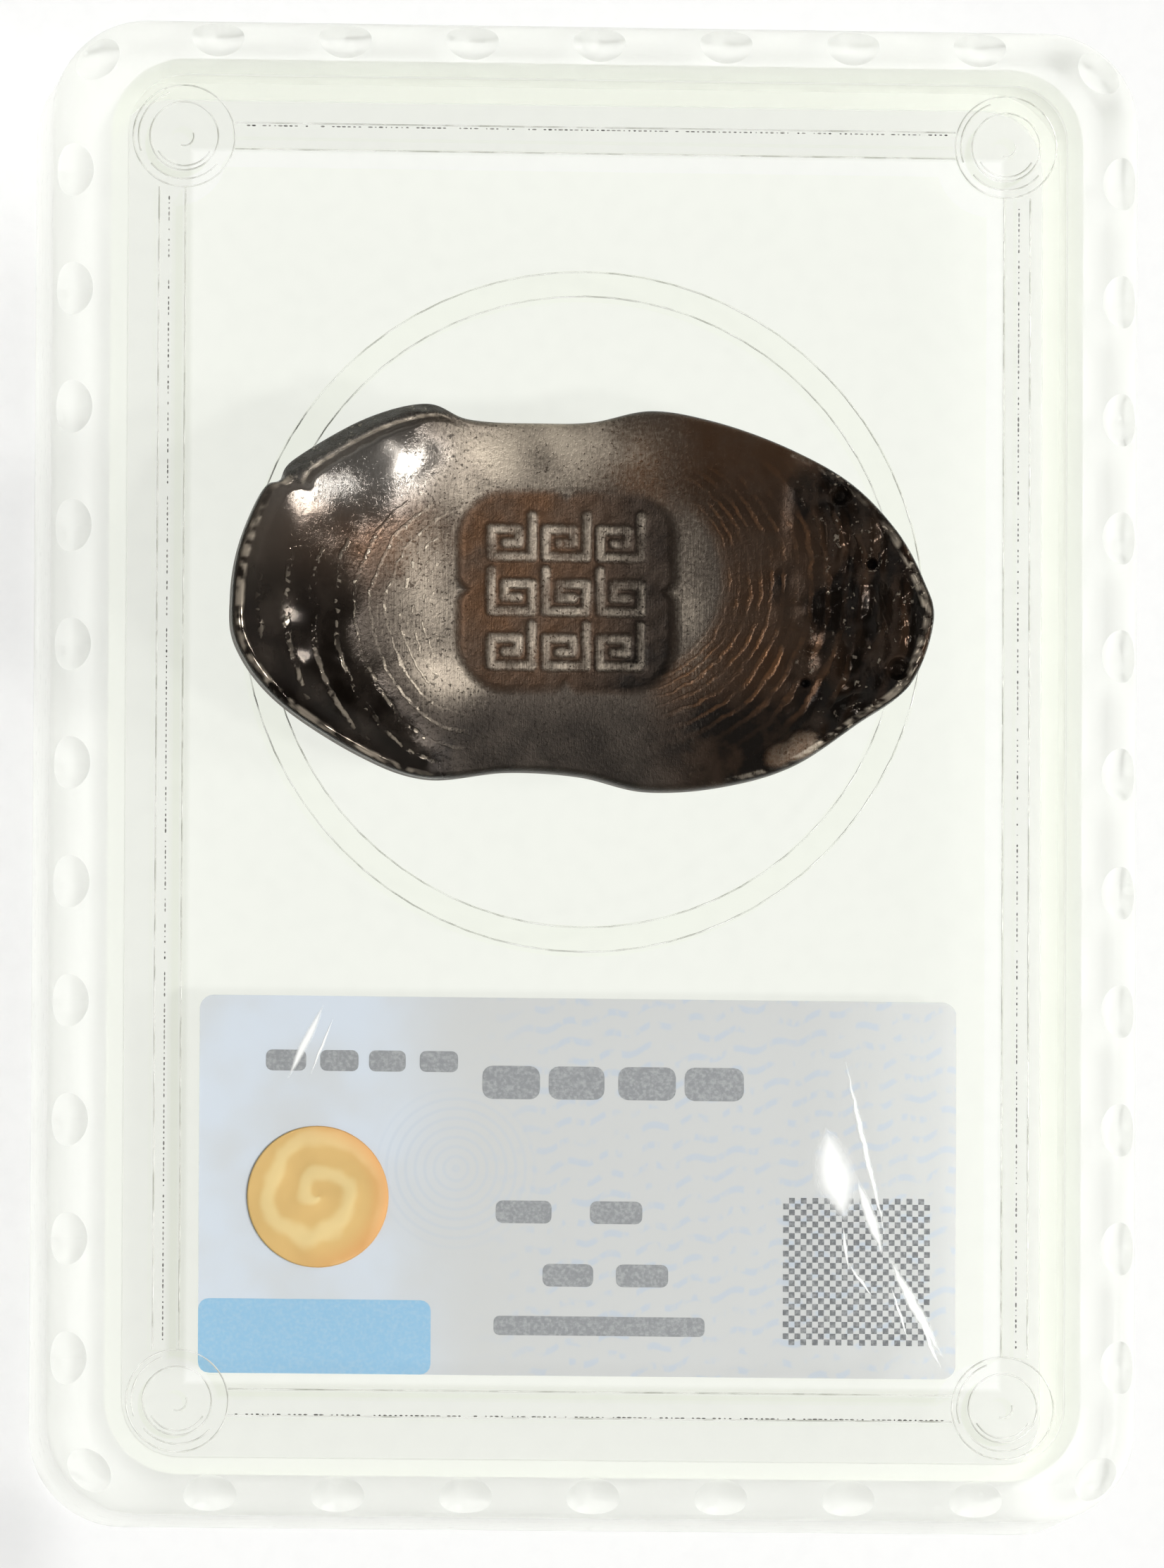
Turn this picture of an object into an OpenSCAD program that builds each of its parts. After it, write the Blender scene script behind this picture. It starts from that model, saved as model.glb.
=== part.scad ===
// Small boat-shaped silver ingot, sealed in a clear case with a soft edge frame.
// Lying on its back: +Z comes out of the front window, +Y points away from the label.
// The origin is the middle of the rear rest face.

/* [Edge frame] */
// Overall width of the case
case_w = 62; // [60:0.5:70]
// Overall length of the case
case_l = 85; // [82:0.5:96]
// Corner radius of the frame, seen from the front
frame_corner_r = 5.4; // [4:0.1:6]
// Rounding of the frame's front and rear shoulders
shoulder_r = 2; // [1:0.1:2.6]
// Width of the frame's face along the long sides
side_rim_w = 4.2; // [3.6:0.1:5]
// Width of the frame's face along the short sides
end_rim_w = 3.2; // [2.8:0.1:4.5]
// Thickness of the lips that hold the box in the frame
lip_t = 0.9; // [0.6:0.1:1.4]
// How far the lips reach over the box
lip_overlap = 0.9; // [0.5:0.1:1.5]

/* [Scallops] */
// Radius of the ball that cuts a scallop
scallop_r = 1.95; // [1.4:0.05:2.4]
// Distance of the ball's centre inside the frame's edge
scallop_inset = 0.45; // [0:0.05:0.8]
// Height of the ball's centre over the frame's face
scallop_rise = 0.85; // [0.5:0.05:1.2]
// Scallops along a short side
scallops_short = 7; // [3:2:7]
// Spacing of the scallops along a short side
scallop_pitch_short = 7.25; // [5:0.05:7.5]
// Scallops along a long side
scallops_long = 11; // [5:2:11]
// Spacing of the scallops along a long side
scallop_pitch_long = 6.75; // [5:0.05:7]

/* [Clear covers] */
// Thickness of the front and rear windows
window_t = 1.8; // [1.2:0.1:2.6]
// Depth of the front cover, from its face to the parting plane
lid_depth = 3.1; // [2.8:0.1:5]
// Wall between the chamber and the outside at the long sides
side_wall = 4.2; // [3.8:0.1:5]
// Wall between the chamber and the outside at the short sides
end_wall = 4.8; // [4.2:0.1:5.4]
// Distance of the post centres from the outside of the covers
post_edge = 4.2; // [3.6:0.1:4.6]
// Radius of the four corner posts
post_r = 2.9; // [2.6:0.05:3.2]
// Radius of the bore in each post
bore_r = 1.95; // [1.4:0.05:2.2]
// Length of the weld pins
pin_l = 4.5; // [3:0.1:6]
// Radius of the core hole up each pin
core_r = 0.65; // [0.4:0.05:0.9]
// Width of the weld tongue
tongue_w = 0.8; // [0.5:0.05:1.1]
// Height of the weld tongue
tongue_h = 1; // [0.5:0.1:1.5]
// Distance of the tongue's centre line outside the chamber
tongue_offset = 1.1; // [0.9:0.05:1.5]

/* [Tray and ring] */
// Thickness of the tray
tray_t = 1; // [0.8:0.1:1.6]
// Outer diameter of the ring round the ingot
ring_d = 39.2; // [37:0.1:41]
// Wall of the ring
ring_wall = 1.6; // [1:0.1:2.2]
// Height of the ring
ring_h = 3.2; // [2.2:0.1:4]
// Chamfer on the ring's upper edges
ring_chamfer = 0.3; // [0.1:0.05:0.45]
// Depth of the ring's seat in the tray
ring_seat = 0.3; // [0.2:0.05:0.5]
// Clear tray left between the label and the ring
ring_gap = 2.4; // [1.5:0.1:3.5]
// Clear tray left above the ring
ring_end = 5.9; // [4:0.1:8]

/* [Label] */
// Clear tray left at each side of the label
label_side = 1.6; // [1:0.1:3]
// Clear tray left below the label
label_end = 1.3; // [1:0.1:2]
// Thickness of the card
label_t = 0.35; // [0.2:0.05:0.5]
// Corner radius of the card
label_corner_r = 0.8; // [0.4:0.1:2]
// Depth of the label's pocket in the tray
pocket_depth = 0.5; // [0.3:0.05:0.6]
// Diameter of the foil seal
seal_d = 8.1; // [6:0.1:9]
// Thickness of the foil seal
seal_t = 0.12; // [0.08:0.01:0.2]
// Bevel round the foil seal
seal_bevel = 0.06; // [0.02:0.01:0.07]
// Distance of the seal's centre from the label's left edge
seal_from_left = 6.8; // [5.5:0.1:9]
// Distance of the seal's centre below the label's middle
seal_drop = 0.7; // [0:0.1:2]

/* [Ingot] */
// Length of the ingot
ingot_l = 40.2; // [36:0.1:42]
// Width of the ingot
ingot_w = 21.9; // [18:0.1:24]
// Height of the ingot at its upturned ends
ingot_h = 10.4; // [8:0.1:13]
// Room between the ingot and the front window
head_room = 1; // [0.5:0.1:2]
// Where the ingot lies right of the ring's centre
ingot_x = -0.45; // [-1:0.05:1]
// Where the ingot lies above the ring's centre
ingot_y = 0.6; // [-1:0.05:1]
// Width of the stamped panel
panel_w = 12.8; // [10:0.1:14]
// Height of the stamped panel
panel_l = 11.8; // [9:0.1:13]
// Depth of the stamped panel in the middle of the ingot
panel_depth = 0.45; // [0.3:0.05:0.8]
// Place of the panel right of the ingot's middle
panel_x = -0.75; // [-1.5:0.05:1.5]
// Place of the panel above the ingot's middle
panel_y = 0.3; // [-1:0.05:1]
// Width of the raised strokes in the panel
stroke_w = 0.42; // [0.3:0.02:0.5]
// Spacing of the raised strokes
stroke_pitch = 0.78; // [0.6:0.02:0.85]
// Height of the raised strokes over the panel's floor
stroke_h = 0.3; // [0.1:0.05:0.4]

/* [Fits] */
// Gap between the frame and the covers, and between the two covers
fit_gap = 0.05; // [0.02:0.01:0.1]
// Gap under a piece that rests on another
seat_gap = 0.05; // [0.02:0.01:0.1]
// Radial clearance of a weld pin in its bore
pin_gap = 0.04; // [0.02:0.01:0.1]
// Side clearance of the tongue, the label and the ring in their seats
seat_side_gap = 0.1; // [0.05:0.01:0.15]
// Gap between the tray and the chamber's walls and posts
tray_gap = 0.2; // [0.1:0.05:0.4]

/* [Hidden] */
$fn = 64;
over = 1;

// Heights, from the rear rest face up
box_z = lip_t + fit_gap;
floor_z = box_z + window_t;
tray_z = floor_z + seat_gap;
tray_top = tray_z + tray_t;
ingot_z = tray_top + seat_gap;
ceiling_z = ingot_z + ingot_h + head_room;
box_top = ceiling_z + window_t;
case_t = box_top + box_z;
parting_z = box_top - lid_depth;
pocket_z = tray_top - pocket_depth;
label_z = pocket_z + seat_gap;
seal_z = label_z + label_t + seat_gap;
ring_z = tray_top - ring_seat + seat_gap;

// Plan sizes of the openings, the covers, the chamber and the tray
opening_w = case_w - 2 * side_rim_w;
opening_l = case_l - 2 * end_rim_w;
box_w = opening_w + 2 * lip_overlap;
box_l = opening_l + 2 * lip_overlap;
chamber_w = box_w - 2 * side_wall;
chamber_l = box_l - 2 * end_wall;
post_x = box_w / 2 - post_edge;
post_y = box_l / 2 - post_edge;
tongue_x = chamber_w / 2 + tongue_offset;
tongue_y = chamber_l / 2 + tongue_offset;
tray_w = chamber_w - 2 * tray_gap;
tray_l = chamber_l - 2 * tray_gap;

// Places on the tray, where the label takes the length that the ring leaves
label_w = tray_w - 2 * label_side;
label_l = tray_l - ring_end - ring_d - ring_gap - label_end;
label_y = -tray_l / 2 + label_end + label_l / 2;
seal_x = -label_w / 2 + seal_from_left;
seal_y = label_y - seal_drop;
ring_y = tray_l / 2 - ring_end - ring_d / 2;

// The casting, drawn at its natural size and then brought to the named one.
// The outline is a smooth closed curve through a point wherever the casting's edge changes its bend.
cast_edge = [
    [20.1, -1.4], [19.5, 1], [18, 3.8], [15.3, 6.6], [11.7, 8.6], [7.7, 10.2], [4.2, 10.8],
    [0.8, 10.1], [-2.2, 10], [-6.4, 10.1], [-8.9, 10.9], [-12.5, 9.9], [-16.5, 7.5], [-17.3, 6.3],
    [-18.3, 5.7], [-19.6, 2.7], [-20.1, -0.3], [-19.8, -3.2], [-17.4, -6.3], [-12.6, -9.3],
    [-8.7, -10.5], [-4, -10], [0.2, -10.2], [4, -11], [8.5, -10.7], [12.3, -9.6], [15.9, -7.2],
    [18.8, -5]
];
half_l = 20.1;
half_w = 11;
// Middle of the folded lip and half its span, counted along the points of the edge
fold_at = 11.2;
fold_span = 1.9;
fold_h = 0.7;
// Heights of the casting: middle, rise to the ends, fall to the waist, lift and lip round the ends
middle_z = 6.3;
end_rise = 2.7;
waist_drop = 1.3;
dish_lift = 0.7;
lip_h = 0.55;
lip_round = 0.3;
// Thickness of the casting's edge at the ends and at the waist, and the fullness of its belly
end_edge_t = 2.2;
waist_edge_t = 1.7;
belly_power = 3.4;
// Flow ripples on the ends, as shares of the way out to the edge: start, end and spacing, and their height
ripple_from = 0.38;
ripple_to = 0.8;
ripple_pitch = 0.12;
ripple_h = 0.14;
// Steps round the edge, rings on the upper face and rings on the belly
edge_steps = 84;
top_rings = 26;
belly_rings = 8;
ring_crowding = 1.15;
// Size of the first ring, as a share of the way out to the edge
first_ring = 0.16;
// Square spirals across and along the panel, and straight strokes in each
spirals = 3;
spiral_strokes = 6;
spiral_cell = 4 * stroke_pitch;

function smooth(low, high, x) =
    let (t = min(1, max(0, (x - low) / (high - low))))
    t * t * (3 - 2 * t);

// Closed curve through the points, where t counts points
function curve(points, t) =
    let (
        n = len(points),
        i = floor(t),
        f = t - i,
        a = points[(i + n - 1) % n],
        b = points[i % n],
        c = points[(i + 1) % n],
        d = points[(i + 2) % n]
    )
    b + f / 2 * ((c - a) + f * ((2 * a - 5 * b + 4 * c - d) + f * (3 * b - a - 3 * c + d)));

function end_share(x) = smooth(0.3, 0.62, abs(x) / half_l);

function fold_share(t) = 1 - smooth(0.6, 1, abs(t - fold_at) / fold_span);

function ripple(x, v) =
    ripple_h * sin(360 * (v - ripple_from) / ripple_pitch)
        * smooth(ripple_from, ripple_from + ripple_pitch / 2, v)
        * (1 - smooth(ripple_to - ripple_pitch, ripple_to, v))
        * smooth(0.25, 0.45, abs(x) / half_l);

// Height of the upper face at p, a share v of the way out to edge place t
function upper_z(p, v, t) =
    let (e = end_share(p.x))
    middle_z + end_rise * pow(abs(p.x) / half_l, 2.1)
        - (1 - e) * waist_drop * pow(abs(p.y) / half_w, 2.6)
        + e * dish_lift * pow(v, 4)
        + (e * lip_h + fold_h * fold_share(t)) * smooth(0.84, 0.95, v)
        - lip_round * smooth(0.96, 1, v)
        + ripple(p.x, v);

function edge_t(x) = waist_edge_t + (end_edge_t - waist_edge_t) * end_share(x);

// Height of the belly: flat in the middle, steep towards the edge
function belly_z(p, v, t) =
    let (rim = p / v)
    (upper_z(rim, 1, t) - edge_t(rim.x)) * pow(v, belly_power);

function edge_place(i) = i * len(cast_edge) / edge_steps;

// Share of the way out of ring j of n, with the rings closing up towards the edge
function ring_share(j, n) = 1 - (1 - first_ring) * pow(1 - (j - 1) / (n - 1), ring_crowding);

module cast_body() {
    top = [
        for (j = [1:top_rings], i = [0:edge_steps - 1])
            let (t = edge_place(i), v = ring_share(j, top_rings), p = v * curve(cast_edge, t))
            [p.x, p.y, upper_z(p, v, t)]
    ];
    belly = [
        for (j = [belly_rings:-1:1], i = [0:edge_steps - 1])
            let (t = edge_place(i), v = ring_share(j, belly_rings), p = v * curve(cast_edge, t))
            [p.x, p.y, belly_z(p, v, t)]
    ];
    loops = top_rings + belly_rings;
    last = loops * edge_steps;
    strips = [
        for (j = [0:loops - 2], i = [0:edge_steps - 1])
            let (
                a = j * edge_steps + i,
                b = j * edge_steps + (i + 1) % edge_steps,
                c = a + edge_steps,
                d = b + edge_steps
            )
            each [[a, b, d], [a, d, c]]
    ];
    caps = [
        for (i = [0:edge_steps - 1])
            let (k = (i + 1) % edge_steps)
            each [[last, k, i], [last + 1, last - edge_steps + i, last - edge_steps + k]]
    ];
    polyhedron(
        points = concat(top, belly, [[0, 0, middle_z], [0, 0, 0]]),
        faces = concat(strips, caps)
    );
}

// Panel with a round lobe in each corner and a small cusp in the middle of each side
module lobed_panel(w, l) {
    corner_r = min(w, l) / 4;
    cusp_r = corner_r / 3;
    cusp_step = 0.8 * cusp_r;
    for (x = [-1, 1], y = [-1, 1])
        hull() {
            circle(cusp_r);
            translate([x * (w / 2 - corner_r), y * (l / 2 - corner_r)]) circle(corner_r);
            translate([x * cusp_step, y * (l / 2 - cusp_r)]) circle(cusp_r);
            translate([x * (w / 2 - cusp_r), y * cusp_step]) circle(cusp_r);
        }
}

// Square spiral from its eye outwards, one straight stroke for each turn
function spiral_run(k) = ceil(k / 2) * stroke_pitch;
function spiral_way(k) = [[1, 0], [0, 1], [-1, 0], [0, -1]][k % 4];
function spiral_point(k) = k == 0 ? [0, 0] : spiral_point(k - 1) + spiral_run(k) * spiral_way(k - 1);

module square_spiral() {
    for (k = [1:spiral_strokes])
        hull() {
            translate(spiral_point(k - 1)) square(stroke_w, center = true);
            translate(spiral_point(k)) square(stroke_w, center = true);
        }
}

// Rows of spirals, with every other row turned the other way
module fret() {
    middle = (spirals - 1) / 2;
    eye = stroke_pitch / 2;
    for (row = [0:spirals - 1], column = [0:spirals - 1])
        translate([(column - middle) * spiral_cell, (row - middle) * spiral_cell])
            mirror([row % 2, 0]) translate([-eye, -eye]) square_spiral();
}

module rounded_plate(w, l, t, r) {
    translate([-w / 2, r - l / 2, 0]) cube([w, l - 2 * r, t]);
    for (y = [-l / 2, l / 2 - r]) translate([r - w / 2, y, 0]) cube([w - 2 * r, r, t]);
    at_corners(w / 2 - r, l / 2 - r) rotate_extrude(angle = 90) square([r, t]);
}

// Children at the four corners, each turned so that its first quadrant faces outwards
module at_corners(x, y) {
    for (k = [0:3])
        translate([(k == 1 || k == 2) ? -x : x, k > 1 ? -y : y, 0]) rotate(90 * k) children();
}

module at_posts() {
    for (x = [-post_x, post_x], y = [-post_y, post_y]) translate([x, y, 0]) children();
}

module quarter_disc(r) {
    intersection() {
        circle(r);
        square(r);
    }
}

// Quarter-round edge that runs once round a plate of this size
module shoulder(w, l, r, s) {
    for (k = [0, 1]) {
        rotate(180 * k) translate([w / 2 - s, 0, 0]) rotate([90, 0, 0])
            linear_extrude(l - 2 * r, center = true) quarter_disc(s);
        rotate(90 + 180 * k) translate([l / 2 - s, 0, 0]) rotate([90, 0, 0])
            linear_extrude(w - 2 * r, center = true) quarter_disc(s);
    }
    at_corners(w / 2 - r, l / 2 - r) rotate_extrude(angle = 90) translate([r - s, 0]) quarter_disc(s);
}

module soft_block(w, l, t, r, s) {
    translate([0, 0, s]) rounded_plate(w, l, t - 2 * s, r);
    for (z = [0, t - s]) translate([0, 0, z]) rounded_plate(w - 2 * s, l - 2 * s, s, r - s);
    translate([0, 0, t - s]) shoulder(w, l, r, s);
    translate([0, 0, s]) mirror([0, 0, 1]) shoulder(w, l, r, s);
}

// Balls along the four edges and one across each corner
module scallop_row(x, y) {
    short = (scallops_short - 1) / 2;
    long = (scallops_long - 1) / 2;
    corner = (frame_corner_r - scallop_inset) * sin(45);
    for (s = [-1, 1]) {
        for (k = [-short:short]) translate([k * scallop_pitch_short, s * y, 0]) sphere(scallop_r);
        for (k = [-long:long]) translate([s * x, k * scallop_pitch_long, 0]) sphere(scallop_r);
    }
    at_corners(case_w / 2 - frame_corner_r, case_l / 2 - frame_corner_r)
        translate([corner, corner, 0]) sphere(scallop_r);
}

// The chamber between two heights, with the corner posts left standing in it
module chamber(z, t) {
    difference() {
        translate([-chamber_w / 2, -chamber_l / 2, z]) cube([chamber_w, chamber_l, t]);
        at_posts() translate([0, 0, z - over]) cylinder(r = post_r, h = t + 2 * over);
    }
}

// Bars that run from post to post, round the chamber
module tongue(z, w, h) {
    side = 2 * (post_y - post_r);
    end = 2 * (post_x - post_r);
    for (x = [-tongue_x, tongue_x]) translate([x - w / 2, -side / 2, z]) cube([w, side, h]);
    for (y = [-tongue_y, tongue_y]) translate([-end / 2, y - w / 2, z]) cube([end, w, h]);
}

module bumper_frame() {
    color([0.93, 0.94, 0.92, 0.7])
        difference() {
            soft_block(case_w, case_l, case_t, frame_corner_r, shoulder_r);
            translate([0, 0, lip_t])
                rounded_plate(box_w + 2 * fit_gap, box_l + 2 * fit_gap, case_t - 2 * lip_t, post_edge + fit_gap);
            translate([0, 0, -over])
                rounded_plate(opening_w, opening_l, case_t + 2 * over, post_edge - lip_overlap);
            for (z = [-scallop_rise, case_t + scallop_rise])
                translate([0, 0, z]) scallop_row(case_w / 2 - scallop_inset, case_l / 2 - scallop_inset);
        }
}

module front_cover() {
    lid_z = parting_z + fit_gap;
    color([0.9, 0.95, 0.92, 0.3])
        difference() {
            union() {
                difference() {
                    translate([0, 0, lid_z]) rounded_plate(box_w, box_l, box_top - lid_z, post_edge);
                    chamber(lid_z - over, ceiling_z - lid_z + over);
                }
                tongue(lid_z - tongue_h, tongue_w, tongue_h);
                at_posts() translate([0, 0, lid_z - pin_l]) cylinder(r = bore_r - pin_gap, h = pin_l);
            }
            at_posts() translate([0, 0, lid_z - pin_l - over]) cylinder(r = core_r, h = pin_l + over);
        }
}

module rear_cover() {
    groove_w = tongue_w + 2 * seat_side_gap;
    color([0.9, 0.95, 0.92, 0.3])
        difference() {
            translate([0, 0, box_z]) rounded_plate(box_w, box_l, parting_z - box_z, post_edge);
            chamber(floor_z, parting_z - floor_z + over);
            tongue(parting_z - tongue_h, groove_w, tongue_h + over);
            at_posts() translate([0, 0, parting_z - pin_l]) cylinder(r = bore_r, h = pin_l + over);
        }
}

module inner_tray() {
    color([0.92, 0.96, 0.92, 0.3])
        difference() {
            translate([-tray_w / 2, -tray_l / 2, tray_z]) cube([tray_w, tray_l, tray_t]);
            at_posts() translate([0, 0, tray_z - over]) cylinder(r = post_r + tray_gap, h = tray_t + 2 * over);
            translate([0, label_y, pocket_z])
                rounded_plate(label_w + 2 * seat_side_gap, label_l + 2 * seat_side_gap, pocket_depth + over,
                              label_corner_r + seat_side_gap);
            translate([0, ring_y, tray_top - ring_seat])
                difference() {
                    cylinder(d = ring_d + 2 * seat_side_gap, h = ring_seat + over);
                    translate([0, 0, -over])
                        cylinder(d = ring_d - 2 * ring_wall - 2 * seat_side_gap, h = ring_seat + 3 * over);
                }
        }
}

module well_ring() {
    color([0.92, 0.96, 0.92, 0.4])
        translate([0, ring_y, ring_z])
            rotate_extrude() translate([ring_d / 2 - ring_wall, 0])
                polygon([
                    [0, 0], [ring_wall, 0], [ring_wall, ring_h - ring_chamfer],
                    [ring_wall - ring_chamfer, ring_h], [ring_chamfer, ring_h], [0, ring_h - ring_chamfer]
                ]);
}

module ingot() {
    panel_z = middle_z - panel_depth;
    color([0.34, 0.29, 0.26])
        translate([ingot_x - ingot_l / 2, ring_y + ingot_y - ingot_w / 2, ingot_z])
            resize([ingot_l, ingot_w, ingot_h])
                translate([half_l, half_w, 0])
                    difference() {
                        cast_body();
                        translate([panel_x, panel_y, panel_z])
                            difference() {
                                linear_extrude(panel_depth + end_rise) lobed_panel(panel_w, panel_l);
                                translate([0, 0, -over]) linear_extrude(stroke_h + over) fret();
                            }
                    }
}

module label_card() {
    color([0.78, 0.82, 0.86])
        translate([0, label_y, label_z]) rounded_plate(label_w, label_l, label_t, label_corner_r);
}

module seal_sticker() {
    r = seal_d / 2;
    color([0.85, 0.6, 0.22])
        translate([seal_x, seal_y, seal_z])
            rotate_extrude()
                polygon([[0, 0], [r, 0], [r, seal_t - seal_bevel], [r - seal_bevel, seal_t], [0, seal_t]]);
}

bumper_frame();
front_cover();
rear_cover();
inner_tray();
well_ring();
ingot();
label_card();
seal_sticker();
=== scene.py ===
"""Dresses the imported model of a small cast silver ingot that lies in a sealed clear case.

The scene is in metres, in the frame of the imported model: +Z comes out of the front window and +Y points
away from the card. Patterns and the form of the casting are worked out in millimetres.
"""

import math

import bpy
import numpy as np
from bpy.props import FloatProperty, FloatVectorProperty, IntProperty, PointerProperty
from bpy.types import Operator, Panel, PropertyGroup
from mathutils import Matrix, Vector


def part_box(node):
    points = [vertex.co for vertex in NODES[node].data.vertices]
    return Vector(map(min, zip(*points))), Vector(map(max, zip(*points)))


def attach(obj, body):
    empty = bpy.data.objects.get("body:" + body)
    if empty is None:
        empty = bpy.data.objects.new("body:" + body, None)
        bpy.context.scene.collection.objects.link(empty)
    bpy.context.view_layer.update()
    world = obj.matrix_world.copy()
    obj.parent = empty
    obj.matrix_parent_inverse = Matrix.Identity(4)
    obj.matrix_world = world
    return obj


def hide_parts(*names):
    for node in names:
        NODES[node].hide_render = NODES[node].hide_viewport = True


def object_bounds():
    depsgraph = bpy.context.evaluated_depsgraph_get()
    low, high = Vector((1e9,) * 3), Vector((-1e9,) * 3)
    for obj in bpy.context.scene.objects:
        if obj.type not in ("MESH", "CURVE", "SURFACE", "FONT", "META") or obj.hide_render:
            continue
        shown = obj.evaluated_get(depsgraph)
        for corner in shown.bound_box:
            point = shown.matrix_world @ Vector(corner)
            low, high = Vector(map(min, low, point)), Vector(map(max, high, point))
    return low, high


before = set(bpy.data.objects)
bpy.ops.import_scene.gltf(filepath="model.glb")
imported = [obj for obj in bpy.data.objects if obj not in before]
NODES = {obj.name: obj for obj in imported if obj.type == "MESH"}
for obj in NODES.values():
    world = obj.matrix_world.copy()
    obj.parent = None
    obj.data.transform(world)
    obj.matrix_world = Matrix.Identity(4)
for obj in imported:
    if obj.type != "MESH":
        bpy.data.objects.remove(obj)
CAD_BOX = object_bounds()

bl_info = {
    "name": "Cased Silver Ingot",
    "version": (1, 0, 0),
    "blender": (4, 5, 0),
    "location": "View3D > Sidebar > Ingot",
    "description": "Casting, clear case, card and foil seal of a small silver ingot",
    "category": "Object",
}

MM = 0.001
BLACK = (0.0, 0.0, 0.0)
TURN = 2 * math.pi


def from_screen(red, green, blue):
    """A colour as a screen shows it, 0 to 255, in the linear values that Blender works with."""
    shares = (red / 255, green / 255, blue / 255)
    return tuple(((c + 0.055) / 1.055) ** 2.4 if c > 0.04 else c / 12.92 for c in shares)


def tint(name, description, red, green, blue):
    """A colour that a user may change."""
    colour = from_screen(red, green, blue)
    return FloatVectorProperty(
        name=name, description=description, subtype="COLOR", min=0, max=1, default=colour
    )


def number(name, description, default, **limits):
    """A number that a user may change."""
    return FloatProperty(name=name, description=description, default=default, **limits)


def length(name, description, millimetres):
    """A length that a user may change."""
    return number(name, description, millimetres * MM, unit="LENGTH", min=0)


class StageSettings(PropertyGroup):
    """The camera, the floor and the light."""

    view_distance: length("View Distance", "From the case to the camera", 1300)
    view_height: length("View Height", "Height of the picture at the case", 89.54)
    lean_x: number("Lean X", "How far the view leans to the right, as a slope", -0.089)
    lean_y: number("Lean Y", "How far the view leans up the case, as a slope", -0.083)
    roll: number("Roll", "Turn of the camera about its line of sight", math.radians(0.25), subtype="ANGLE")
    aim_x: number("Aim X", "Aim right of the middle", -0.04 * MM, unit="LENGTH")
    aim_y: number("Aim Y", "Aim above the middle", -0.16 * MM, unit="LENGTH")
    floor: tint("Floor", "Colour of the floor", 250, 250, 248.5)
    lamp_distance: length("Lamp Distance", "From the case to the lamps", 750)
    lamp_size: length("Lamp Size", "Diameter of the lamps", 90)
    lamp_share: number("Lamp Share", "Light that the lamps give, beside full daylight", 0.8, min=0, max=2)
    sky_low: number("Low Sky", "Brightness of the surroundings, low down", 0.7, min=0)
    sky_high: number("High Sky", "Brightness of the surroundings, overhead", 0.05, min=0)


class CastingSettings(PropertyGroup):
    """The silver casting."""

    seed: IntProperty(name="Seed", description="Start of the random shapes", min=0, default=7)
    steps: IntProperty(name="Steps", description="Points round the edge", min=60, default=440)
    rings: IntProperty(name="Rings", description="Rings of points on the upper face", min=40, default=165)
    lump_height: length("Lump Height", "Height of the lumps at the rough end", 0.3)
    silver: tint("Silver", "Colour where the tone is rubbed off", 177, 164, 148)
    tone: tint("Tone", "Colour of the toned skin", 66, 58, 51)
    brown: tint("Brown", "Colour of the thick brown tone", 96, 64, 38)
    soot: tint("Soot", "Colour of the darkest tone", 20, 14, 9)
    # The dish's grey patch: rubbed silver, with a painted sheen in its colour.
    scuffed_sheen: tint("Scuffed", "Colour of the scuffed grey patch in the dish", 128, 125, 121)


class CaseSettings(PropertyGroup):
    """The clear covers, the tray and the edge frame."""

    cover: tint("Cover", "Tint of the clear covers", 254.6, 255, 253.8)
    tray: tint("Tray", "Tint of the tray and its ring", 254.6, 255, 253.6)
    thick: tint("Thick Cover", "Tint of the covers where they are thick", 232, 233, 228)
    # Edge Lines and Edge Width: thin tubes of painted shade, pale in places as a painted highlight, along
    # the clear mouldings' rounded edges.
    edge: tint("Edge Lines", "Colour of the rounded edges", 198, 199, 190)
    edge_width: length("Edge Width", "Width of the rounded edges", 0.09)
    frosted: tint("Edge Frame", "Colour of the soft edge frame", 242, 243, 239)
    bubble: tint("Weld", "Colour of the bubbles in the weld", 74, 72, 70)
    bubble_width: length("Bubble Width", "Width of the bubbles in the weld", 0.09)
    bubble_spacing: length("Bubble Spacing", "Spacing of the bubbles in the weld", 0.3)


class CardSettings(PropertyGroup):
    """The printed card and its foil seal."""

    paper: tint("Paper", "Colour of the card", 199, 200, 200)
    wash: tint("Wash", "Colour of the blue wash on the left", 206, 214, 225)
    waves: tint("Waves", "Colour of the fine printed waves", 180, 192, 208)
    band: tint("Band", "Colour of the printed band", 145, 188, 218)
    bars: tint("Bars", "Colour of the printed bars", 142, 144, 147)
    tiles: tint("Tiles", "Colour of the printed tiles", 112, 114, 117)
    foil: tint("Foil", "Colour of the foil seal", 212, 176, 112)


class CasedIngotSettings(PropertyGroup):
    """Everything that a user may change."""

    stage: PointerProperty(type=StageSettings)
    casting: PointerProperty(type=CastingSettings)
    case: PointerProperty(type=CaseSettings)
    card: PointerProperty(type=CardSettings)


class Value:
    """An output in a node tree. Sums and products of such numbers become Math nodes."""

    def __init__(self, graph, socket):
        self.graph = graph
        self.socket = socket

    def __add__(self, other):
        return self.graph.math("ADD", self, other)

    def __sub__(self, other):
        return self.graph.math("SUBTRACT", self, other)

    def __rsub__(self, other):
        return self.graph.math("SUBTRACT", other, self)

    def __mul__(self, other):
        return self.graph.math("MULTIPLY", self, other)

    def __truediv__(self, other):
        return self.graph.math("DIVIDE", self, other)

    def __rtruediv__(self, other):
        return self.graph.math("DIVIDE", other, self)

    def held(self):
        """This number, kept between 0 and 1."""
        return self.graph.value("ShaderNodeClamp", {0: self})


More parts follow.
